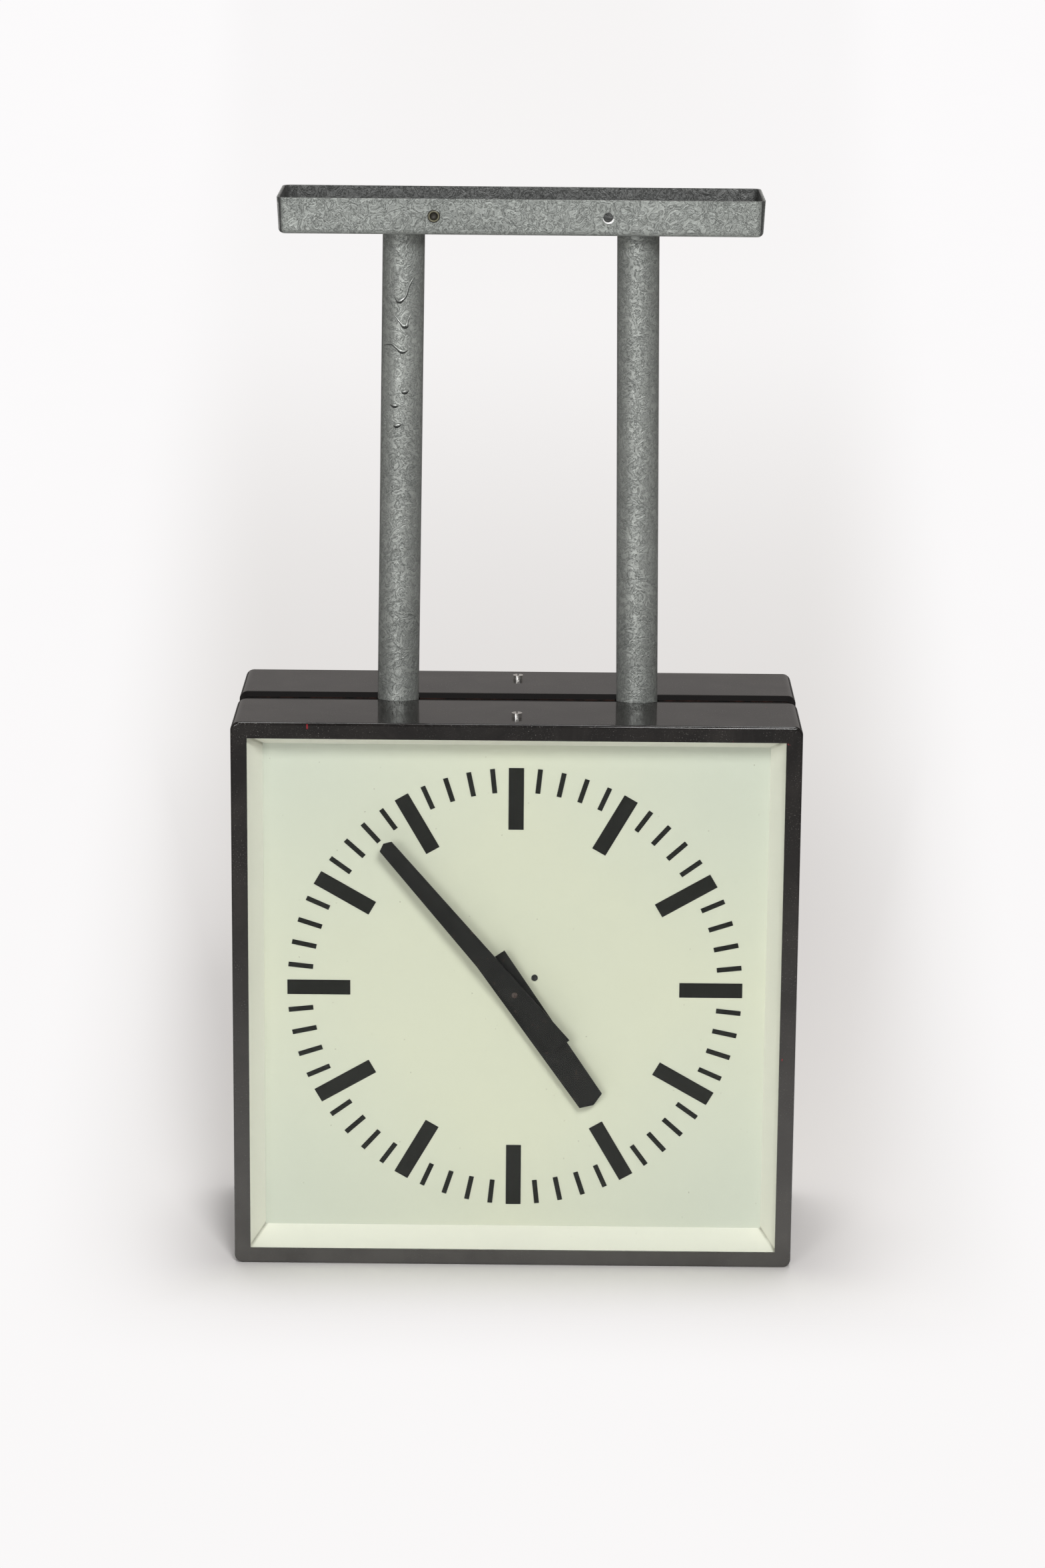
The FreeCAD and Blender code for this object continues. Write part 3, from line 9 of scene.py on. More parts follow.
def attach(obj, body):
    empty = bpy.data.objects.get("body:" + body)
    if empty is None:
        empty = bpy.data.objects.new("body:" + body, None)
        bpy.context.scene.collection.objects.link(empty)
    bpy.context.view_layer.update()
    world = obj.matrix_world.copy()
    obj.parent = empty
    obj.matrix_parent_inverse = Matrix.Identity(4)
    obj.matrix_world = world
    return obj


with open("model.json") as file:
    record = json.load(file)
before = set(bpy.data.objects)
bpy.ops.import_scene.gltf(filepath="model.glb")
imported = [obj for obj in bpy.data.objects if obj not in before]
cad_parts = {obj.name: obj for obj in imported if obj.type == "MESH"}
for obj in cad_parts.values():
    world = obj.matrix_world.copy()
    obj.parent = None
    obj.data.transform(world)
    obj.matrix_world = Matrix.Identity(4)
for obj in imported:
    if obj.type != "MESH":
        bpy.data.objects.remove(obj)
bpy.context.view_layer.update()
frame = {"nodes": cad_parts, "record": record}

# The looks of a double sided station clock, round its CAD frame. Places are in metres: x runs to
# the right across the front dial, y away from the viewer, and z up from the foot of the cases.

scene = bpy.context.scene
scene.view_settings.view_transform = "Standard"

MM = 0.001


def box_of(node):
    """Lowest and highest corner of a CAD node."""
    along = list(zip(*frame["nodes"][node].bound_box))
    return [min(values) for values in along], [max(values) for values in along]


case_low, case_high = box_of("front_case")
DIAL_UP = (case_low[2] + case_high[2]) / 2
DIAL_FACE = -box_of("front_dial_marks")[1][1]
HAND_FACE = -box_of("front_minute_hand")[0][1]

# The tray widens from its foot to its top. The half length and half depth are those at its foot,
# to the middle of the wall, and the holes are at equal distances left and right.
tray_low, tray_high = box_of("ceiling_tray")
TRAY_WALL = 2.0 * MM
TRAY_FLARE = 1.3 * MM
TRAY_SLOPE = TRAY_FLARE / (tray_high[2] - tray_low[2])
TRAY_HALF_LENGTH, TRAY_HALF_DEPTH = (
    edge - TRAY_FLARE - TRAY_WALL / 2 for edge in tray_high[:2]
)
HOLE_ACROSS = 60.0 * MM
HOLE_UP = tray_low[2] + 13.0 * MM

# The left tube leans, so its axis lies further left at the foot than at the head.
tube_low, tube_high = box_of("left_tube")
TUBE_RADIUS = -tube_low[1]
TUBE_FOOT = tube_low[0] + TUBE_RADIUS
TUBE_HEAD = tube_high[0] - TUBE_RADIUS


class Graph:
    """Node tree of a material or a world. Its calls add nodes and return output sockets."""

    def __init__(self, owner, output, coordinate):
        owner.use_nodes = True
        self.owner = owner
        self.tree = owner.node_tree
        self.tree.nodes.clear()
        self.output = self.node(output)
        self.place = self.node("ShaderNodeTexCoord").outputs[coordinate]
        self.across, self.back, self.up = self.apart(self.place)

    def node(self, kind, **settings):
        made = self.tree.nodes.new(kind)
        for name, value in settings.items():
            setattr(made, name, value)
        return made

    def feed(self, socket, value):
        if isinstance(value, bpy.types.NodeSocket):
            self.tree.links.new(value, socket)
        elif socket.type == "RGBA":
            socket.default_value = (*value, 1.0)
        else:
            socket.default_value = value

    def wired(self, kind, values, **settings):
        """Outputs of a new node whose first inputs take the values in turn."""
        made = self.node(kind, **settings)
        for socket, value in zip(made.inputs, values):
            self.feed(socket, value)
        return made.outputs

    def apart(self, vector):
        return self.wired("ShaderNodeSeparateXYZ", (vector,))

    def scaled(self, x, y, z):
        """The place, stretched along each axis."""
        return self.wired("ShaderNodeVectorMath", (self.place, (x, y, z)),
                          operation="MULTIPLY")[0]

    def off(self, across, up):
        """Distance from a line that runs straight to the back."""
        return self.wired("ShaderNodeVectorMath", (self.scaled(1.0, 0.0, 1.0), (across, 0.0, up)),
                          operation="DISTANCE")["Value"]

    def math(self, operation, first, second=0.0):
        return self.wired("ShaderNodeMath", (first, second), operation=operation)[0]

    def chain(self, operation, first, others):
        for other in others:
            first = self.math(operation, first, other)
        return first

    def times(self, first, *others):
        return self.chain("MULTIPLY", first, others)

    def plus(self, first, *others):
        return self.chain("ADD", first, others)

    def either(self, first, *others):
        return self.chain("MAXIMUM", first, others)

    def less(self, first, second):
        return self.math("SUBTRACT", first, second)

    def below(self, value, limit):
        return self.math("LESS_THAN", value, limit)

    def above(self, value, limit):
        return self.math("GREATER_THAN", value, limit)

    def far(self, value, middle=0.0):
        """Distance of a value from a middle one."""
        return self.math("ABSOLUTE", self.less(value, middle))

    def spread(self, value, low, high, start=0.0, end=1.0, kind="LINEAR"):
        """A value's range from low to high, stretched from start to end and held there."""
        return self.wired("ShaderNodeMapRange", (value, low, high, start, end),
                          interpolation_type=kind)[0]

    def soft(self, value, low, high, start=0.0, end=1.0):
        """A spread that eases in and out."""
        return self.spread(value, low, high, start, end, "SMOOTHSTEP")

    def near(self, distance, full, none):
        """1 up to a distance, then falling to 0 at a larger one."""
        return self.spread(distance, full, none, 1.0, 0.0)

    def noise(self, scale, detail=3.0, rough=0.55, twist=0.0, vector=None):
        """Clouds between 0 and 1. The scale is their number a metre."""
        made = self.node("ShaderNodeTexNoise")
        self.feed(made.inputs["Vector"], vector or self.place)
        self.feed(made.inputs["Scale"], scale)
        self.feed(made.inputs["Detail"], detail)
        self.feed(made.inputs["Roughness"], rough)
        self.feed(made.inputs["Distortion"], twist)
        return made.outputs["Fac"]

    def mix(self, share, first, second):
        """From the first colour at share 0 to the second at 1."""
        made = self.node("ShaderNodeMix", data_type="RGBA")
        self.feed(made.inputs["Factor"], share)
        self.feed(made.inputs[6], first)
        self.feed(made.inputs[7], second)
        return made.outputs[2]

    def bump(self, height, depth, below=None):
        """Bump of a height between 0 and 1, with its depth in metres."""
        made = self.node("ShaderNodeBump")
        self.feed(made.inputs["Height"], height)
        self.feed(made.inputs["Distance"], depth)
        if below is not None:
            self.feed(made.inputs["Normal"], below)
        return made.outputs[0]

    def ray(self, question):
        return self.node("ShaderNodeLightPath").outputs[question]

    def shader(self, kind="ShaderNodeBsdfPrincipled", **values):
        """A shader. Its inputs are named with _ for each space."""
        made = self.node(kind)
        for name, value in values.items():
            self.feed(made.inputs[name.replace("_", " ")], value)
        return made.outputs[0]

    def blend(self, share, first, second):
        """From the first shader at share 0 to the second at 1."""
        return self.wired("ShaderNodeMixShader", (share, first, second))[0]

    def show(self, shader):
        self.feed(self.output.inputs["Surface"], shader)
        return self.owner


def paint(name):
    """Graph of a new material, whose places are those of the frame and ride with the piece."""
    return Graph(bpy.data.materials.new(name), "ShaderNodeOutputMaterial", "Object")


def darker(colour, share):
    return tuple(share * part for part in colour)


def case_paint():
    """Black stove enamel: long waves, dust and smudges, lips worn to primer, painted light towards
    the bottom and painted shade on the drawn-in rims.
    """
    black = (0.0068, 0.0061, 0.0058)
    faded = (0.0135, 0.012, 0.0114)
    grime = (0.034, 0.030, 0.027)
    dust_grey = (0.17, 0.16, 0.15)
    painted_bottom_light = (0.066, 0.063, 0.059)
    rim_painted_shade = (0.0035, 0.003, 0.003)
    primer = (0.05, 0.018, 0.013)
    chip_red = (0.22, 0.018, 0.024)
    bottom_light_end = 410.0 * MM
    rim_full, rim_end = 11.2 * MM, 12.8 * MM
    lip_full, lip_end = 1.6 * MM, 2.6 * MM
    chip_across, chip_up = -146.2 * MM, 397.3 * MM

    g = paint("case_enamel")
    colour = g.mix(g.noise(9.0, 4.0, 0.6), black, faded)
    smudge = g.spread(g.noise(15.0, 5.0, 0.68, 0.6), 0.46, 0.72, 0.0, 0.55)
    colour = g.mix(smudge, colour, grime)
    specks = g.spread(g.noise(1000.0, 2.0, 0.7), 0.61, 0.70)
    dust = g.times(specks, g.spread(g.noise(35.0, 3.0), 0.36, 0.6))
    colour = g.mix(g.times(dust, 0.7), colour, dust_grey)
    # Painted light: the enamel is lightened towards the bottom of the case, more where the noise
    # is high.
    bottom_light = g.times(
        g.math("POWER", g.near(g.up, 0.0, bottom_light_end), 1.5),
        g.spread(g.noise(30.0, 4.0, 0.6), 0.3, 0.7, 0.8, 1.1),
    )
    colour = g.mix(bottom_light, colour, painted_bottom_light)
    # Painted shade: the drawn-in rims near the middle plane are made black, rough and weakly
    # reflecting, for the shaded recess between the cases.
    rim = g.near(g.far(g.back), rim_full, rim_end)
    colour = g.mix(rim, colour, rim_painted_shade)
    lip = g.near(g.far(g.back), lip_full, lip_end)
    worn = g.spread(g.noise(110.0, 4.0, 0.65), 0.42, 0.62, 0.0, 0.4)
    colour = g.mix(g.times(lip, worn), colour, primer)
    stray = g.spread(g.noise(150.0, 3.0, 0.6), 0.752, 0.764)
    chip = g.times(
        g.near(g.far(g.across, chip_across), 0.3 * MM, 0.8 * MM),
        g.near(g.far(g.up, chip_up), 1.2 * MM, 2.0 * MM),
        g.below(g.back, -50.0 * MM),
    )
    colour = g.mix(g.either(stray, chip), colour, chip_red)
    gloss = g.spread(g.noise(22.0, 4.0), 0.3, 0.7, 0.06, 0.12)
    waves = g.bump(g.noise(14.0, 1.0), 0.5 * MM)
    return g.show(g.shader(
        Base_Color=colour, Roughness=g.plus(gloss, g.times(dust, 0.4), g.times(rim, 0.4)),
        Normal=g.bump(g.noise(420.0, 2.0), 0.01 * MM, waves),
        Specular_IOR_Level=g.spread(rim, 0.0, 1.0, 0.32, 0.06),
    ))


def tray_inside_and_glints(g, colour, deep):
    """A darker colour within the tray, and painted highlights: a bright strip on its left front
    corner and a glint at its right hole.
    """
    painted_glint_white = (0.95, 0.95, 0.94)
    glint_across, glint_up = HOLE_ACROSS + 0.3 * MM, HOLE_UP - 0.4 * MM
    glint_radius, glint_top = 3.9 * MM, HOLE_UP - 0.8 * MM

    slope = g.times(g.less(g.up, tray_low[2]), TRAY_SLOPE)
    within = g.times(
        g.below(g.less(g.far(g.across), slope), TRAY_HALF_LENGTH),
        g.below(g.less(g.far(g.back), slope), TRAY_HALF_DEPTH),
        g.above(g.up, tray_low[2] + 0.6 * TRAY_WALL),
    )
    # The tray is coloured darker within its walls.
    colour = g.mix(within, colour, deep)
    # Painted highlight: a bright strip down the rounded left front corner.
    corner_highlight = g.times(
        g.above(g.less(g.times(g.across, -1.0), slope), TRAY_HALF_LENGTH),
        g.below(g.back, -36.0 * MM),
        g.near(g.far(g.up, (tray_low[2] + tray_high[2]) / 2), 8.5 * MM, 10.5 * MM),
    )
    # Painted glint: a bright crescent at the lower rim of the right hole.
    hole_glint = g.times(
        g.below(g.off(glint_across, glint_up), glint_radius),
        g.below(g.up, glint_top),
        g.below(g.back, -30.0 * MM),
    )
    uneven = g.spread(g.noise(300.0, 3.0), 0.3, 0.5, 0.5, 1.0)
    return g.mix(g.times(g.either(corner_highlight, hole_glint), uneven), colour, painted_glint_white)


def hammer_paint(name, dark, light, inside=None):
    """Grey hammer finish: marbled flake with curled seams. Inside is the darker colour used within
    the tray.
    """
    g = paint(name)
    marble = g.noise(115.0, 4.0, 0.62, 2.8)
    seam = g.soft(g.far(marble, 0.5), 0.0, 0.035, 1.0, 0.0)
    curl = g.noise(420.0, 3.0, 0.6, 1.6)
    fine = g.noise(1500.0, 2.0, 0.6)
    cloud = g.noise(26.0, 4.0, 0.6)
    tone = g.plus(
        g.times(marble, 0.55), g.times(curl, 0.45), g.times(fine, 0.12), g.times(cloud, 0.3),
    )
    colour = g.mix(g.plus(g.spread(tone, 0.4, 1.0), g.times(seam, curl, 0.7)), light, dark)
    if inside is not None:
        deep = g.mix(g.spread(tone, 0.4, 1.02), inside, darker(inside, 0.6))
        colour = tray_inside_and_glints(g, colour, deep)
    height = g.plus(g.times(marble, 1.2), g.times(curl, 0.5), g.times(seam, -0.35))
    return g.show(g.shader(
        Base_Color=colour, Metallic=0.5, Normal=g.bump(height, 0.42 * MM),
        Roughness=g.spread(g.plus(fine, cloud), 0.7, 1.3, 0.34, 0.48),
        Specular_IOR_Level=0.3, Coat_Weight=0.12, Coat_Roughness=0.07,
    ))


def clear_pane():
    """Float glass with a faint green body. It lets lamps and scattered light straight through."""
    g = paint("float_glass")
    glass = g.shader(
        Base_Color=g.mix(g.noise(5.0, 3.0), (0.968, 0.988, 0.974), (0.982, 0.994, 0.984)),
        Roughness=0.0, IOR=1.5, Transmission_Weight=1.0, Specular_Tint=(0.14, 0.14, 0.14),
        Normal=g.bump(g.noise(4.0, 1.0), 0.2 * MM),
    )
    through = g.shader("ShaderNodeBsdfTransparent", Color=(0.95, 0.975, 0.955))
    straight = g.plus(g.ray("Is Shadow Ray"), g.ray("Is Diffuse Ray"))
    return g.show(g.blend(straight, glass, through))


def dial_paint():
    """Pale green cream enamel, a little yellowed in clouds, with fine peel and stray specks, and
    painted shade that darkens it towards the corners.
    """
    cream = (0.648, 0.632, 0.505)
    greyer = (0.615, 0.607, 0.508)
    corner_painted_shade = (0.555, 0.568, 0.508)
    speck_brown = (0.2, 0.17, 0.12)

    g = paint("dial_enamel")
    colour = g.mix(g.noise(7.0, 4.0, 0.6), cream, greyer)
    # Painted shade: the dial darkens towards its corners and edges, where the reveal shades it.
    outward = g.plus(g.far(g.across), g.far(g.up, DIAL_UP))
    colour = g.mix(g.spread(outward, 130.0 * MM, 360.0 * MM, 0.0, 0.9), colour, corner_painted_shade)
    speck = g.spread(g.noise(420.0, 1.0), 0.80, 0.82, 0.0, 0.6)
    colour = g.mix(speck, colour, speck_brown)
    waves = g.bump(g.noise(10.0, 1.0), 0.4 * MM)
    return g.show(g.shader(
        Base_Color=colour, Roughness=g.spread(g.noise(40.0, 3.0), 0.3, 0.7, 0.42, 0.54),
        Normal=g.bump(g.noise(500.0, 2.0), 0.02 * MM, waves), Specular_IOR_Level=0.3,
    ))


def reveal_paint():
    """Cream white enamel, greyer along the mitres and specked where dust has settled."""
    white = (0.86, 0.83, 0.755)
    aged = (0.81, 0.785, 0.71)
    seam_grey = (0.33, 0.31, 0.25)
    dust_grey = (0.42, 0.39, 0.31)

    g = paint("reveal_enamel")
    colour = g.mix(g.noise(12.0, 4.0, 0.6), white, aged)
    mitre = g.far(g.less(g.far(g.across), g.far(g.up, DIAL_UP)))
    uneven = g.spread(g.noise(60.0, 3.0), 0.35, 0.65, 0.3, 0.8)
    seam = g.times(g.near(mitre, 0.4 * MM, 2.2 * MM), uneven)
    colour = g.mix(seam, colour, seam_grey)
    dust = g.spread(g.noise(700.0, 2.0, 0.7), 0.68, 0.74, 0.0, 0.35)
    colour = g.mix(dust, colour, dust_grey)
    return g.show(g.shader(
        Base_Color=colour, Roughness=g.spread(g.noise(50.0, 3.0), 0.3, 0.7, 0.34, 0.5),
        Normal=g.bump(g.noise(450.0, 2.0), 0.03 * MM),
    ))


def mark_paint():
    """Matt black print with a slightly dry, broken surface."""
    black = (0.008, 0.008, 0.0072)
    dry = (0.017, 0.0165, 0.015)

    g = paint("printed_black")
    return g.show(g.shader(
        Base_Color=g.mix(g.noise(260.0, 4.0, 0.65), black, dry),
        Roughness=g.spread(g.noise(90.0, 3.0), 0.3, 0.7, 0.45, 0.62),
        Normal=g.bump(g.noise(1400.0, 2.0), 0.03 * MM), Specular_IOR_Level=0.1,
    ))


def hand_paint():
    """Satin black enamel on slightly uneven sheet, rubbed brown in places."""
    black = (0.0065, 0.0064, 0.0062)
    faded = (0.0125, 0.0118, 0.011)
    rubbed_brown = (0.06, 0.042, 0.034)

    g = paint("hand_enamel")
    rubbed = g.spread(g.noise(240.0, 3.0, 0.6, 0.6), 0.64, 0.72, 0.0, 0.5)
    waves = g.bump(g.noise(40.0, 1.0), 0.3 * MM)
    return g.show(g.shader(
        Base_Color=g.mix(rubbed, g.mix(g.noise(60.0, 4.0, 0.6), black, faded), rubbed_brown),
        Roughness=g.spread(g.noise(120.0, 3.0), 0.3, 0.7, 0.36, 0.52),
        Normal=g.bump(g.noise(900.0, 2.0), 0.03 * MM, waves), Specular_IOR_Level=0.14,
    ))


def metal(name, bright, dull, rough, grain, wear=0.5, tip=None):
    """Bare or plated metal. Grain is the number of scratches a metre along each axis.

    A tip is a distance from the middle plane and the colour of the paint beyond it.
    """
    g = paint(name)
    scratches = g.noise(1.0, 3.0, 0.6, vector=g.scaled(*grain))
    stain = g.spread(g.noise(120.0, 4.0, 0.62), 0.42, 0.72, 0.0, wear)
    colour = g.mix(g.plus(g.times(scratches, 0.35), stain), bright, dull)
    metallic = 1.0
    if tip is not None:
        start, tip_colour = tip
        painted = g.above(g.far(g.back), start)
        colour = g.mix(painted, colour, g.mix(scratches, tip_colour, darker(tip_colour, 0.5)))
        metallic = g.less(1.0, painted)
    return g.show(g.shader(
        Base_Color=colour, Metallic=metallic, Normal=g.bump(scratches, 0.02 * MM),
        Roughness=g.plus(g.times(scratches, 0.22), g.times(stain, 0.2), rough - 0.1),
    ))


def plastic(name, pale, deep, rough, grain, sheen=0.0):
    """Moulding or flat primer with a fine grained surface and uneven ageing."""
    g = paint(name)
    return g.show(g.shader(
        Base_Color=g.mix(g.noise(160.0, 4.0, 0.6), pale, deep), Coat_Weight=sheen,
        Roughness=g.spread(g.noise(300.0, 3.0), 0.3, 0.7, rough - 0.08, rough + 0.1),
        Normal=g.bump(g.noise(grain, 2.0), 0.04 * MM),
    ))


def winding_wire():
    """Enamelled copper: rows of wire that run round the bobbin, with painted shade in the grooves
    between them.
    """
    row_pitch = 0.4 * MM
    g = paint("enamelled_winding")
    rows = g.math("SINE", g.times(g.up, 2 * math.pi / row_pitch))
    height = g.spread(rows, -1.0, 1.0)
    streaks = g.noise(1.0, 2.0, 0.5, vector=g.scaled(90.0, 90.0, 2500.0))
    # Painted shade and highlight: the colour follows the rows, darker in the grooves and lighter
    # on the crests.
    return g.show(g.shader(
        Base_Color=g.mix(g.plus(g.times(height, 0.5), g.times(streaks, 0.5)),
                         (0.20, 0.055, 0.018), (0.50, 0.17, 0.06)),
        Metallic=0.7, Roughness=g.spread(streaks, 0.3, 0.7, 0.22, 0.36), Coat_Weight=0.5,
        Normal=g.bump(height, 0.1 * MM),
    ))


def slot_materials():
    """The material of each slot of the record."""
    arbor_tip = (HAND_FACE - 0.5 * MM, (0.075, 0.052, 0.045))
    return {
        "case_paint": case_paint(),
        "tray_paint": hammer_paint("tray_hammer", (0.155, 0.165, 0.156), (0.435, 0.458, 0.432),
                                   (0.125, 0.128, 0.125)),
        "tube_paint": hammer_paint("tube_hammer", (0.155, 0.165, 0.157), (0.495, 0.515, 0.485)),
        "pane": clear_pane(),
        "dial_paint": dial_paint(),
        "reveal_paint": reveal_paint(),
        "mark_paint": mark_paint(),
        "hand_paint": hand_paint(),
        "frame_steel": metal("zinc_sheet", (0.62, 0.62, 0.60), (0.34, 0.34, 0.33), 0.36,
                             (40.0, 900.0, 40.0)),
        "screw_steel": metal("screw_zinc", (0.95, 0.94, 0.91), (0.5, 0.47, 0.43), 0.3,
                             (1500.0, 1500.0, 200.0), 0.35),
        "plate_brass": metal("plate_brass", (0.80, 0.60, 0.28), (0.45, 0.30, 0.13), 0.3,
                             (60.0, 60.0, 1600.0)),
        "wheel_brass": metal("wheel_brass", (0.86, 0.66, 0.32), (0.52, 0.35, 0.15), 0.22,
                             (900.0, 60.0, 900.0), 0.35),
        "arbor_steel": metal("ground_steel", (0.68, 0.64, 0.62), (0.36, 0.27, 0.23), 0.24,
                             (800.0, 2500.0, 800.0), 0.5, arbor_tip),
        "magnet": metal("sintered_magnet", (0.17, 0.17, 0.18), (0.08, 0.08, 0.085), 0.5,
                        (1500.0, 1500.0, 1500.0)),
        "lamination": metal("lamination_steel", (0.42, 0.42, 0.43), (0.20, 0.19, 0.18), 0.4,
                            (60.0, 2000.0, 60.0)),
        "bobbin": plastic("bobbin_moulding", (0.74, 0.70, 0.58), (0.62, 0.57, 0.43),
                          0.45, 1800.0),
        "winding": winding_wire(),
        "terminal": plastic("terminal_moulding", (0.035, 0.034, 0.034), (0.06, 0.056, 0.052),
                            0.4, 2200.0),
        "lead": plastic("lead_insulation", (0.52, 0.05, 0.035), (0.34, 0.03, 0.02),
                        0.3, 2600.0, 0.3),
    }


def paint_nodes():
    """A material on every CAD node: its slot's, or one of its own."""
    materials = slot_materials()
    blackened = metal("blackened_screws", (0.82, 0.80, 0.76), (0.36, 0.33, 0.29), 0.24,
                      (1500.0, 1500.0, 1500.0), 0.35,
                      (DIAL_FACE - 0.1 * MM, (0.012, 0.0115, 0.011)))
    primed = plastic("iron_primer", (0.040, 0.017, 0.013), (0.018, 0.009, 0.008), 0.6, 900.0)
    slot_of = {part["node"]: part["material_slot"] for part in frame["record"]["subparts"]}
    for node, thing in frame["nodes"].items():
        if node.endswith("movement_screws"):
            material = blackened
        elif node == "centre_frame":
            material = primed
        else:
            material = materials[slot_of[node]]
        thing.data.materials.clear()
        thing.data.materials.append(material)


def piece_of(name, mesh, smooth=True):
    """A mesh as a named piece in the scene."""
    data = bpy.data.meshes.new(name)
    mesh.to_mesh(data)
    mesh.free()
    for face in data.polygons:
        face.use_smooth = smooth
    piece = bpy.data.objects.new(name, data)
    scene.collection.objects.link(piece)
    return piece


def quads(mesh, here, there):
    """Faces between two rows of corners."""
    for corners in zip(here, here[1:], there[1:], there):
        mesh.faces.new(corners)


def turned(name, profile, steps=48):
    """A closed turned piece about the y axis, from (radius, forward) points in millimetres."""
    mesh = bmesh.new()
    rows = []
    for step in range(steps):
        angle = 2 * math.pi * step / steps
        rows.append([
            mesh.verts.new(Vector((math.cos(angle) * radius, -forward, math.sin(angle) * radius))
                           * MM)
            for radius, forward in profile
        ])
    for here, there in zip(rows, rows[1:] + rows[:1]):
        quads(mesh, here, there)
    bmesh.ops.remove_doubles(mesh, verts=mesh.verts, dist=1e-6)
    bmesh.ops.recalc_face_normals(mesh, faces=mesh.faces)
    return piece_of(name, mesh)


def rivet_bush():
    """Turned-over rivet that fills the left hole of the tray's front wall."""
    hole_and_gap_shade = (0.028, 0.025, 0.018)
    bronze, tarnish = (0.17, 0.16, 0.10), (0.08, 0.075, 0.048)
    # Up from the bottom of the hollow, over the ring, and back into the wall.
    profile = [
        (0.0, -1.8), (2.6, -1.8), (2.7, 0.1), (3.0, 0.5), (3.3, 0.6), (3.9, 0.5),
        (4.4, 0.15), (4.4, 0.0), (3.35, 0.0), (3.35, -2.2), (0.0, -2.2),
    ]
    face = TRAY_HALF_DEPTH + TRAY_WALL / 2 + TRAY_SLOPE * (HOLE_UP - tray_low[2])
    bush = turned("rivet_bush", profile)
    bush.location = (-HOLE_ACROSS, -face, HOLE_UP)

    g = paint("rivet_bronze")
    radius = g.off(0.0, 0.0)
    # Painted shade: dark in the hollow and beyond the ring, for the shade in the hole and in the
    # gap round the flange.
    ring = g.times(g.spread(radius, 2.6 * MM, 2.9 * MM), g.near(radius, 3.6 * MM, 3.9 * MM))
    metal_tone = g.mix(g.noise(700.0, 4.0, 0.65), bronze, tarnish)
    bush.data.materials.append(g.show(g.shader(
        Base_Color=g.mix(ring, hole_and_gap_shade, metal_tone), Metallic=0.25,
        Roughness=g.spread(radius, 2.0 * MM, 4.0 * MM, 0.55, 0.4),
        Normal=g.bump(g.noise(1500.0, 2.0), 0.03 * MM),
    )))
    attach(bush, "housing")


# Each run of paint on the left tube, in millimetres: how much it swells where it hangs lowest,
# and its route, as places across from the tube's axis and up.
RUNS = [
    (1.3, [(-6.6, 689.5), (-4.3, 687.5), (-2.2, 685.7), (0.9, 687.8), (2.6, 690.1),
           (4.3, 696.0), (6.6, 700.6), (8.3, 702.4)]),
    (0.6, [(-6.5, 677.2), (-1.8, 671.4), (1.2, 668.5), (2.9, 668.8), (4.0, 672.6),
           (5.7, 676.2)]),
    (0.6, [(-12.1, 654.4), (-7.4, 655.6), (-3.9, 653.3), (0.2, 650.4), (4.3, 651.6)]),
    (0.6, [(0.0, 622.9), (2.3, 622.0), (5.2, 623.4)]),
    (0.6, [(-7.5, 613.4), (-5.2, 612.4), (-2.2, 612.1)]),
    (0.6, [(-5.0, 599.4), (-3.3, 598.2), (0.2, 599.2)]),
]


def smoothed(points, steps=6):
    """Points along a smooth curve through the given ones."""
    ends = [points[0], *points, points[-1]]
    curve = []
    for before, start, end, after in zip(ends, ends[1:], ends[2:], ends[3:]):
        for step in range(steps):
            t = step / steps
            curve.append(tuple(
                0.5 * (2 * b + (c - a) * t + (2 * a - 5 * b + 4 * c - d) * t ** 2
                       + (3 * b - a - 3 * c + d) * t ** 3)
                for a, b, c, d in zip(before, start, end, after)
            ))
    return curve + [points[-1]]


def on_tube(across, up):
    """Place on the front of the left tube, and the way straight out of it."""
    share = (up - tube_low[2]) / (tube_high[2] - tube_low[2])
    axis = TUBE_FOOT + (TUBE_HEAD - TUBE_FOOT) * share
    out = Vector((across, -math.sqrt(TUBE_RADIUS ** 2 - across ** 2), 0.0)).normalized()
    return Vector((axis, 0.0, up)) + out * TUBE_RADIUS, out


def add_run(mesh, swelling, route, sides=10):
    """One run as a closed tube, thin at both ends and thickest where it hangs lowest."""
    thin, widening, hang = 0.9 * MM, 1.0 * MM, 1.6 * MM
    places = [on_tube(across * MM, up * MM) for across, up in smoothed(route)]
    spots = [spot for spot, out in places]
    lowest = min(spot.z for spot in spots)
    last = len(spots) - 1
    rings = []
    for index, (spot, out) in enumerate(places):
        low = math.exp(-((spot.z - lowest) / hang) ** 2)
        taper = math.sin(math.pi * min(max(index / last, 0.02), 0.98)) ** 0.6
        width = (thin + widening * low) * taper
        rise = (thin + swelling * MM * low) * taper
        ahead = spots[min(index + 1, last)] - spots[max(index - 1, 0)]
        aside = out.cross(ahead).normalized()
        angles = [2 * math.pi * step / sides for step in range(sides)]
        rings.append([
            mesh.verts.new(spot + aside * width * math.cos(angle) + out * rise * math.sin(angle))
            for angle in angles
        ])
    for here, there in zip(rings, rings[1:]):
        quads(mesh, here + here[:1], there + there[:1])
    mesh.faces.new(rings[0])
    mesh.faces.new(rings[-1])


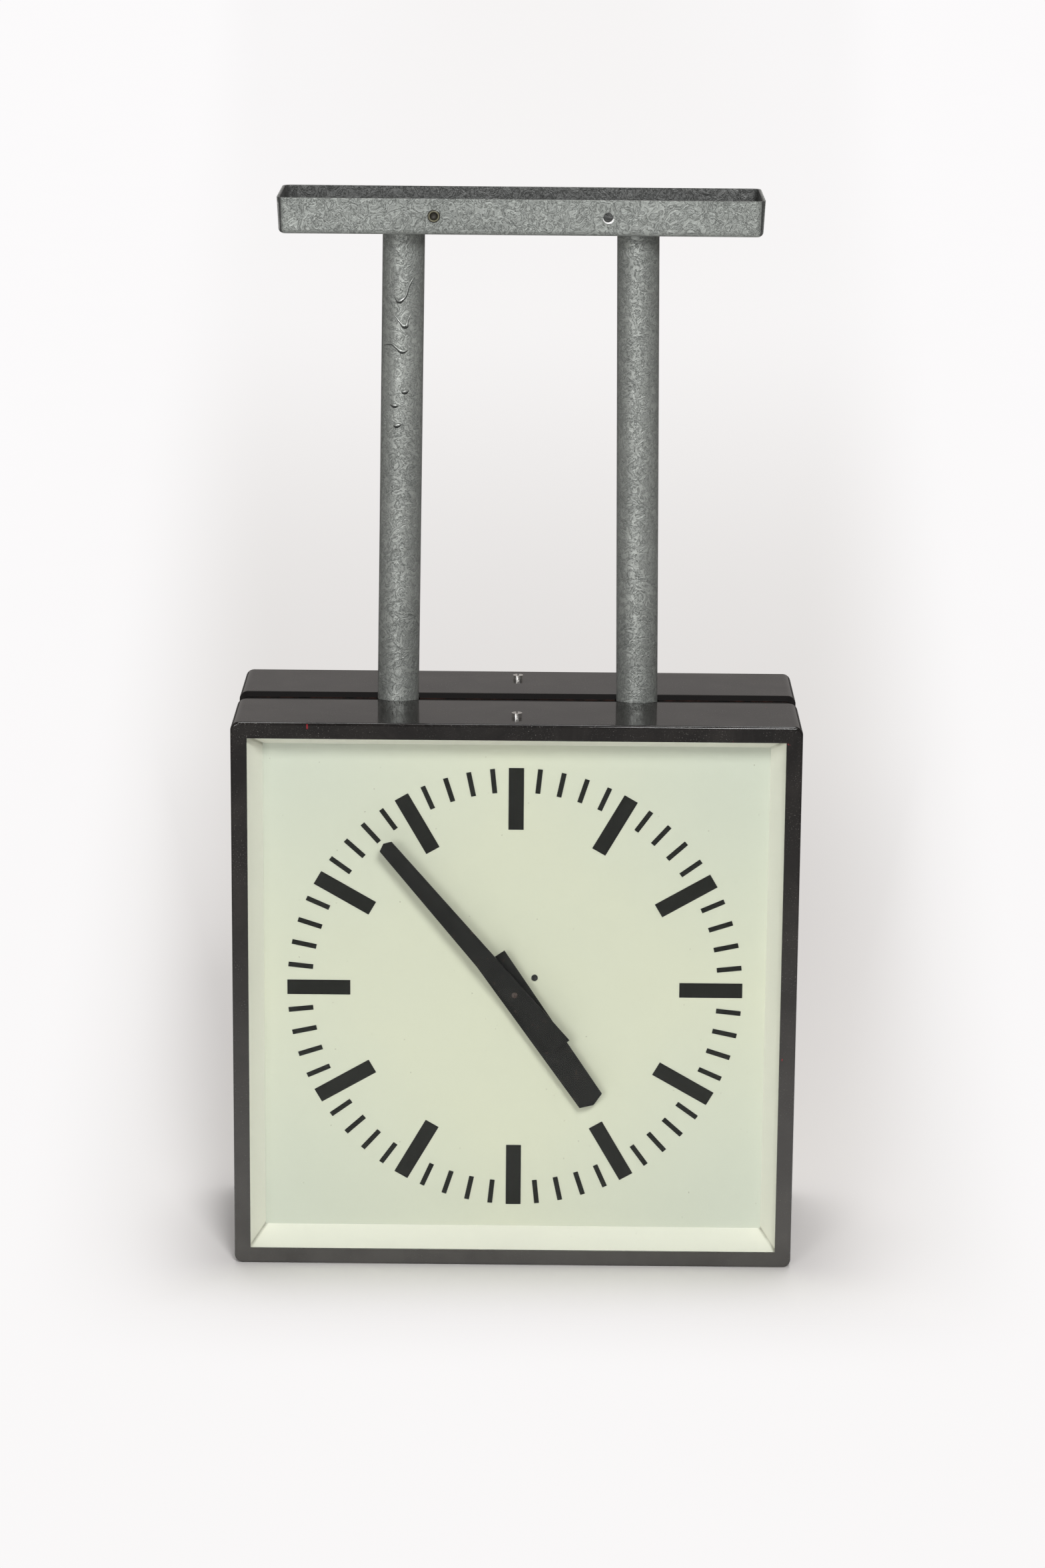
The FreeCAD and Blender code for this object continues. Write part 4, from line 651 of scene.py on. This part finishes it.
def paint_runs():
    """Raised sags and drips in the paint near the top of the left tube, flake coloured on their
    tops with painted shade on their undersides.
    """
    painted_underside_shade = (0.02, 0.022, 0.021)
    dark_flake, light_flake = (0.22, 0.23, 0.22), (0.52, 0.54, 0.51)
    mesh = bmesh.new()
    for swelling, route in RUNS:
        add_run(mesh, swelling, route)
    bmesh.ops.recalc_face_normals(mesh, faces=mesh.faces)
    runs = piece_of("paint_runs", mesh)

    g = paint("sagged_hammer")
    # Painted shade: the downward-facing sides of each run are near black.
    upward = g.apart(g.node("ShaderNodeTexCoord").outputs["Normal"])[2]
    flake = g.mix(g.noise(420.0, 3.0, 0.6, 1.6), dark_flake, light_flake)
    runs.data.materials.append(g.show(g.shader(
        Base_Color=g.mix(g.soft(upward, -0.35, 0.5), painted_underside_shade, flake), Metallic=0.5,
        Roughness=g.spread(g.noise(900.0, 2.0), 0.3, 0.7, 0.3, 0.42),
        Coat_Weight=0.4, Coat_Roughness=0.07, Normal=g.bump(g.noise(1500.0, 2.0), 0.04 * MM),
    )))
    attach(runs, "housing")


def floor():
    """Pale studio floor with a painted shadow round the object, and white further out for the
    camera.
    """
    near_white = (0.955, 0.94, 0.94)
    wide_white = (0.975, 0.962, 0.968)
    painted_shadow_grey = (0.69, 0.665, 0.645)
    cloud_grey = (0.85, 0.84, 0.84)
    bounce_grey = (0.3, 0.295, 0.29)
    reach, middle, sight_slope = 40.0, 0.015, 0.066

    mesh = bmesh.new()
    bmesh.ops.create_grid(mesh, x_segments=1, y_segments=1, size=reach)
    ground = piece_of("studio_floor", mesh, False)

    g = paint("studio_paper")
    aside = g.far(g.across, middle)
    # How far the floor lies outside the camera's lines of sight past the sides of the case.
    edge = g.less(aside, g.plus(g.times(g.back, sight_slope), case_high[0]))
    # Painted shadow: grey beside and behind the case, fading with distance; the camera's glow
    # shows it too.
    painted_shadow = g.times(
        g.soft(edge, -0.03, 0.19, 0.9, 0.0),
        g.soft(g.back, 0.6, 5.0, 0.95, 0.12),
        g.soft(g.back, -0.3, 0.0),
    )
    shade = g.mix(g.soft(aside, 0.15, 0.9), near_white, wide_white)
    shade = g.mix(painted_shadow, shade, painted_shadow_grey)
    shade = g.mix(g.times(g.noise(6.0, 3.0), 0.05), shade, cloud_grey)
    far_out = g.either(
        g.soft(g.back, 0.1, 1.6), g.soft(edge, 0.0, 0.12), g.soft(g.back, -0.2, -0.078, 1.0, 0.0),
    )
    outside = g.either(g.soft(g.far(g.back), 0.25, 1.0), g.soft(g.far(g.across), 0.3, 1.0))
    seen = g.ray("Is Camera Ray")
    dim = g.times(outside, g.less(1.0, seen))
    paper = g.shader(
        Base_Color=g.mix(dim, shade, bounce_grey), Roughness=0.9, Specular_IOR_Level=0.1,
    )
    glow = g.shader("ShaderNodeEmission", Color=shade)
    ground.data.materials.append(g.show(g.blend(g.times(seen, far_out), paper, glow)))


def air():
    """Soft warm light, brightest low behind the object, and white to the camera itself."""
    all_round, low_behind, lost_above = 0.12, 0.24, 0.31
    scene.world = bpy.data.worlds.new("studio_air")
    g = Graph(scene.world, "ShaderNodeOutputWorld", "Generated")
    behind = g.soft(g.back, -0.1, 0.35)
    high = g.soft(g.up, 0.40, 0.58)
    extra = g.less(low_behind, g.times(high, lost_above))
    light = g.shader(
        "ShaderNodeBackground", Color=(1.0, 0.945, 0.915),
        Strength=g.plus(all_round, g.times(behind, extra)),
    )
    white = g.shader("ShaderNodeBackground", Color=(0.97, 0.96, 0.965))
    g.show(g.blend(g.ray("Is Camera Ray"), light, white))


def lamp(name, place, target, size, power):
    """A round soft lamp that looks at a target, with its power in watts."""
    light = bpy.data.lights.new(name, "AREA")
    light.shape = "DISK"
    light.size = size
    light.energy = power
    thing = bpy.data.objects.new(name, light)
    thing.location = place
    thing.rotation_euler = (Vector(target) - Vector(place)).to_track_quat("-Z", "Y").to_euler()
    scene.collection.objects.link(thing)


def photo_camera():
    """Camera at the photograph's place, worked out from the edges and marks in it."""
    place = (0.0157, -3.023, 1.102)
    turn, pitch, roll = math.radians(0.22), math.radians(14.22), math.radians(0.47)
    right = Vector((math.cos(turn), math.sin(turn), 0.0))
    ahead = Vector((
        -math.sin(turn) * math.cos(pitch), math.cos(turn) * math.cos(pitch), -math.sin(pitch),
    ))
    above = right.cross(ahead)
    right, above = (
        right * math.cos(roll) + above * math.sin(roll),
        above * math.cos(roll) - right * math.sin(roll),
    )
    lens = bpy.data.cameras.new("photo_camera")
    lens.sensor_fit = "VERTICAL"
    lens.sensor_height = 36.0
    lens.lens = 99.49
    lens.clip_end = 200.0
    viewer = bpy.data.objects.new("photo_camera", lens)
    basis = Matrix((right, above, -ahead)).transposed().to_4x4()
    viewer.matrix_world = Matrix.Translation(place) @ basis
    scene.collection.objects.link(viewer)
    scene.camera = viewer


paint_nodes()
rivet_bush()
paint_runs()
floor()
air()
lamp("key_lamp", (0.6, -3.2, 2.25), (0.0, 0.0, 0.35), 1.0, 90.0)
lamp("fill_lamp", (-1.2, -3.2, 1.0), (0.0, 0.0, 0.35), 1.2, 38.0)
lamp("top_lamp", (0.1, 0.6, 3.2), (0.0, 0.1, 0.0), 1.6, 62.0)
photo_camera()
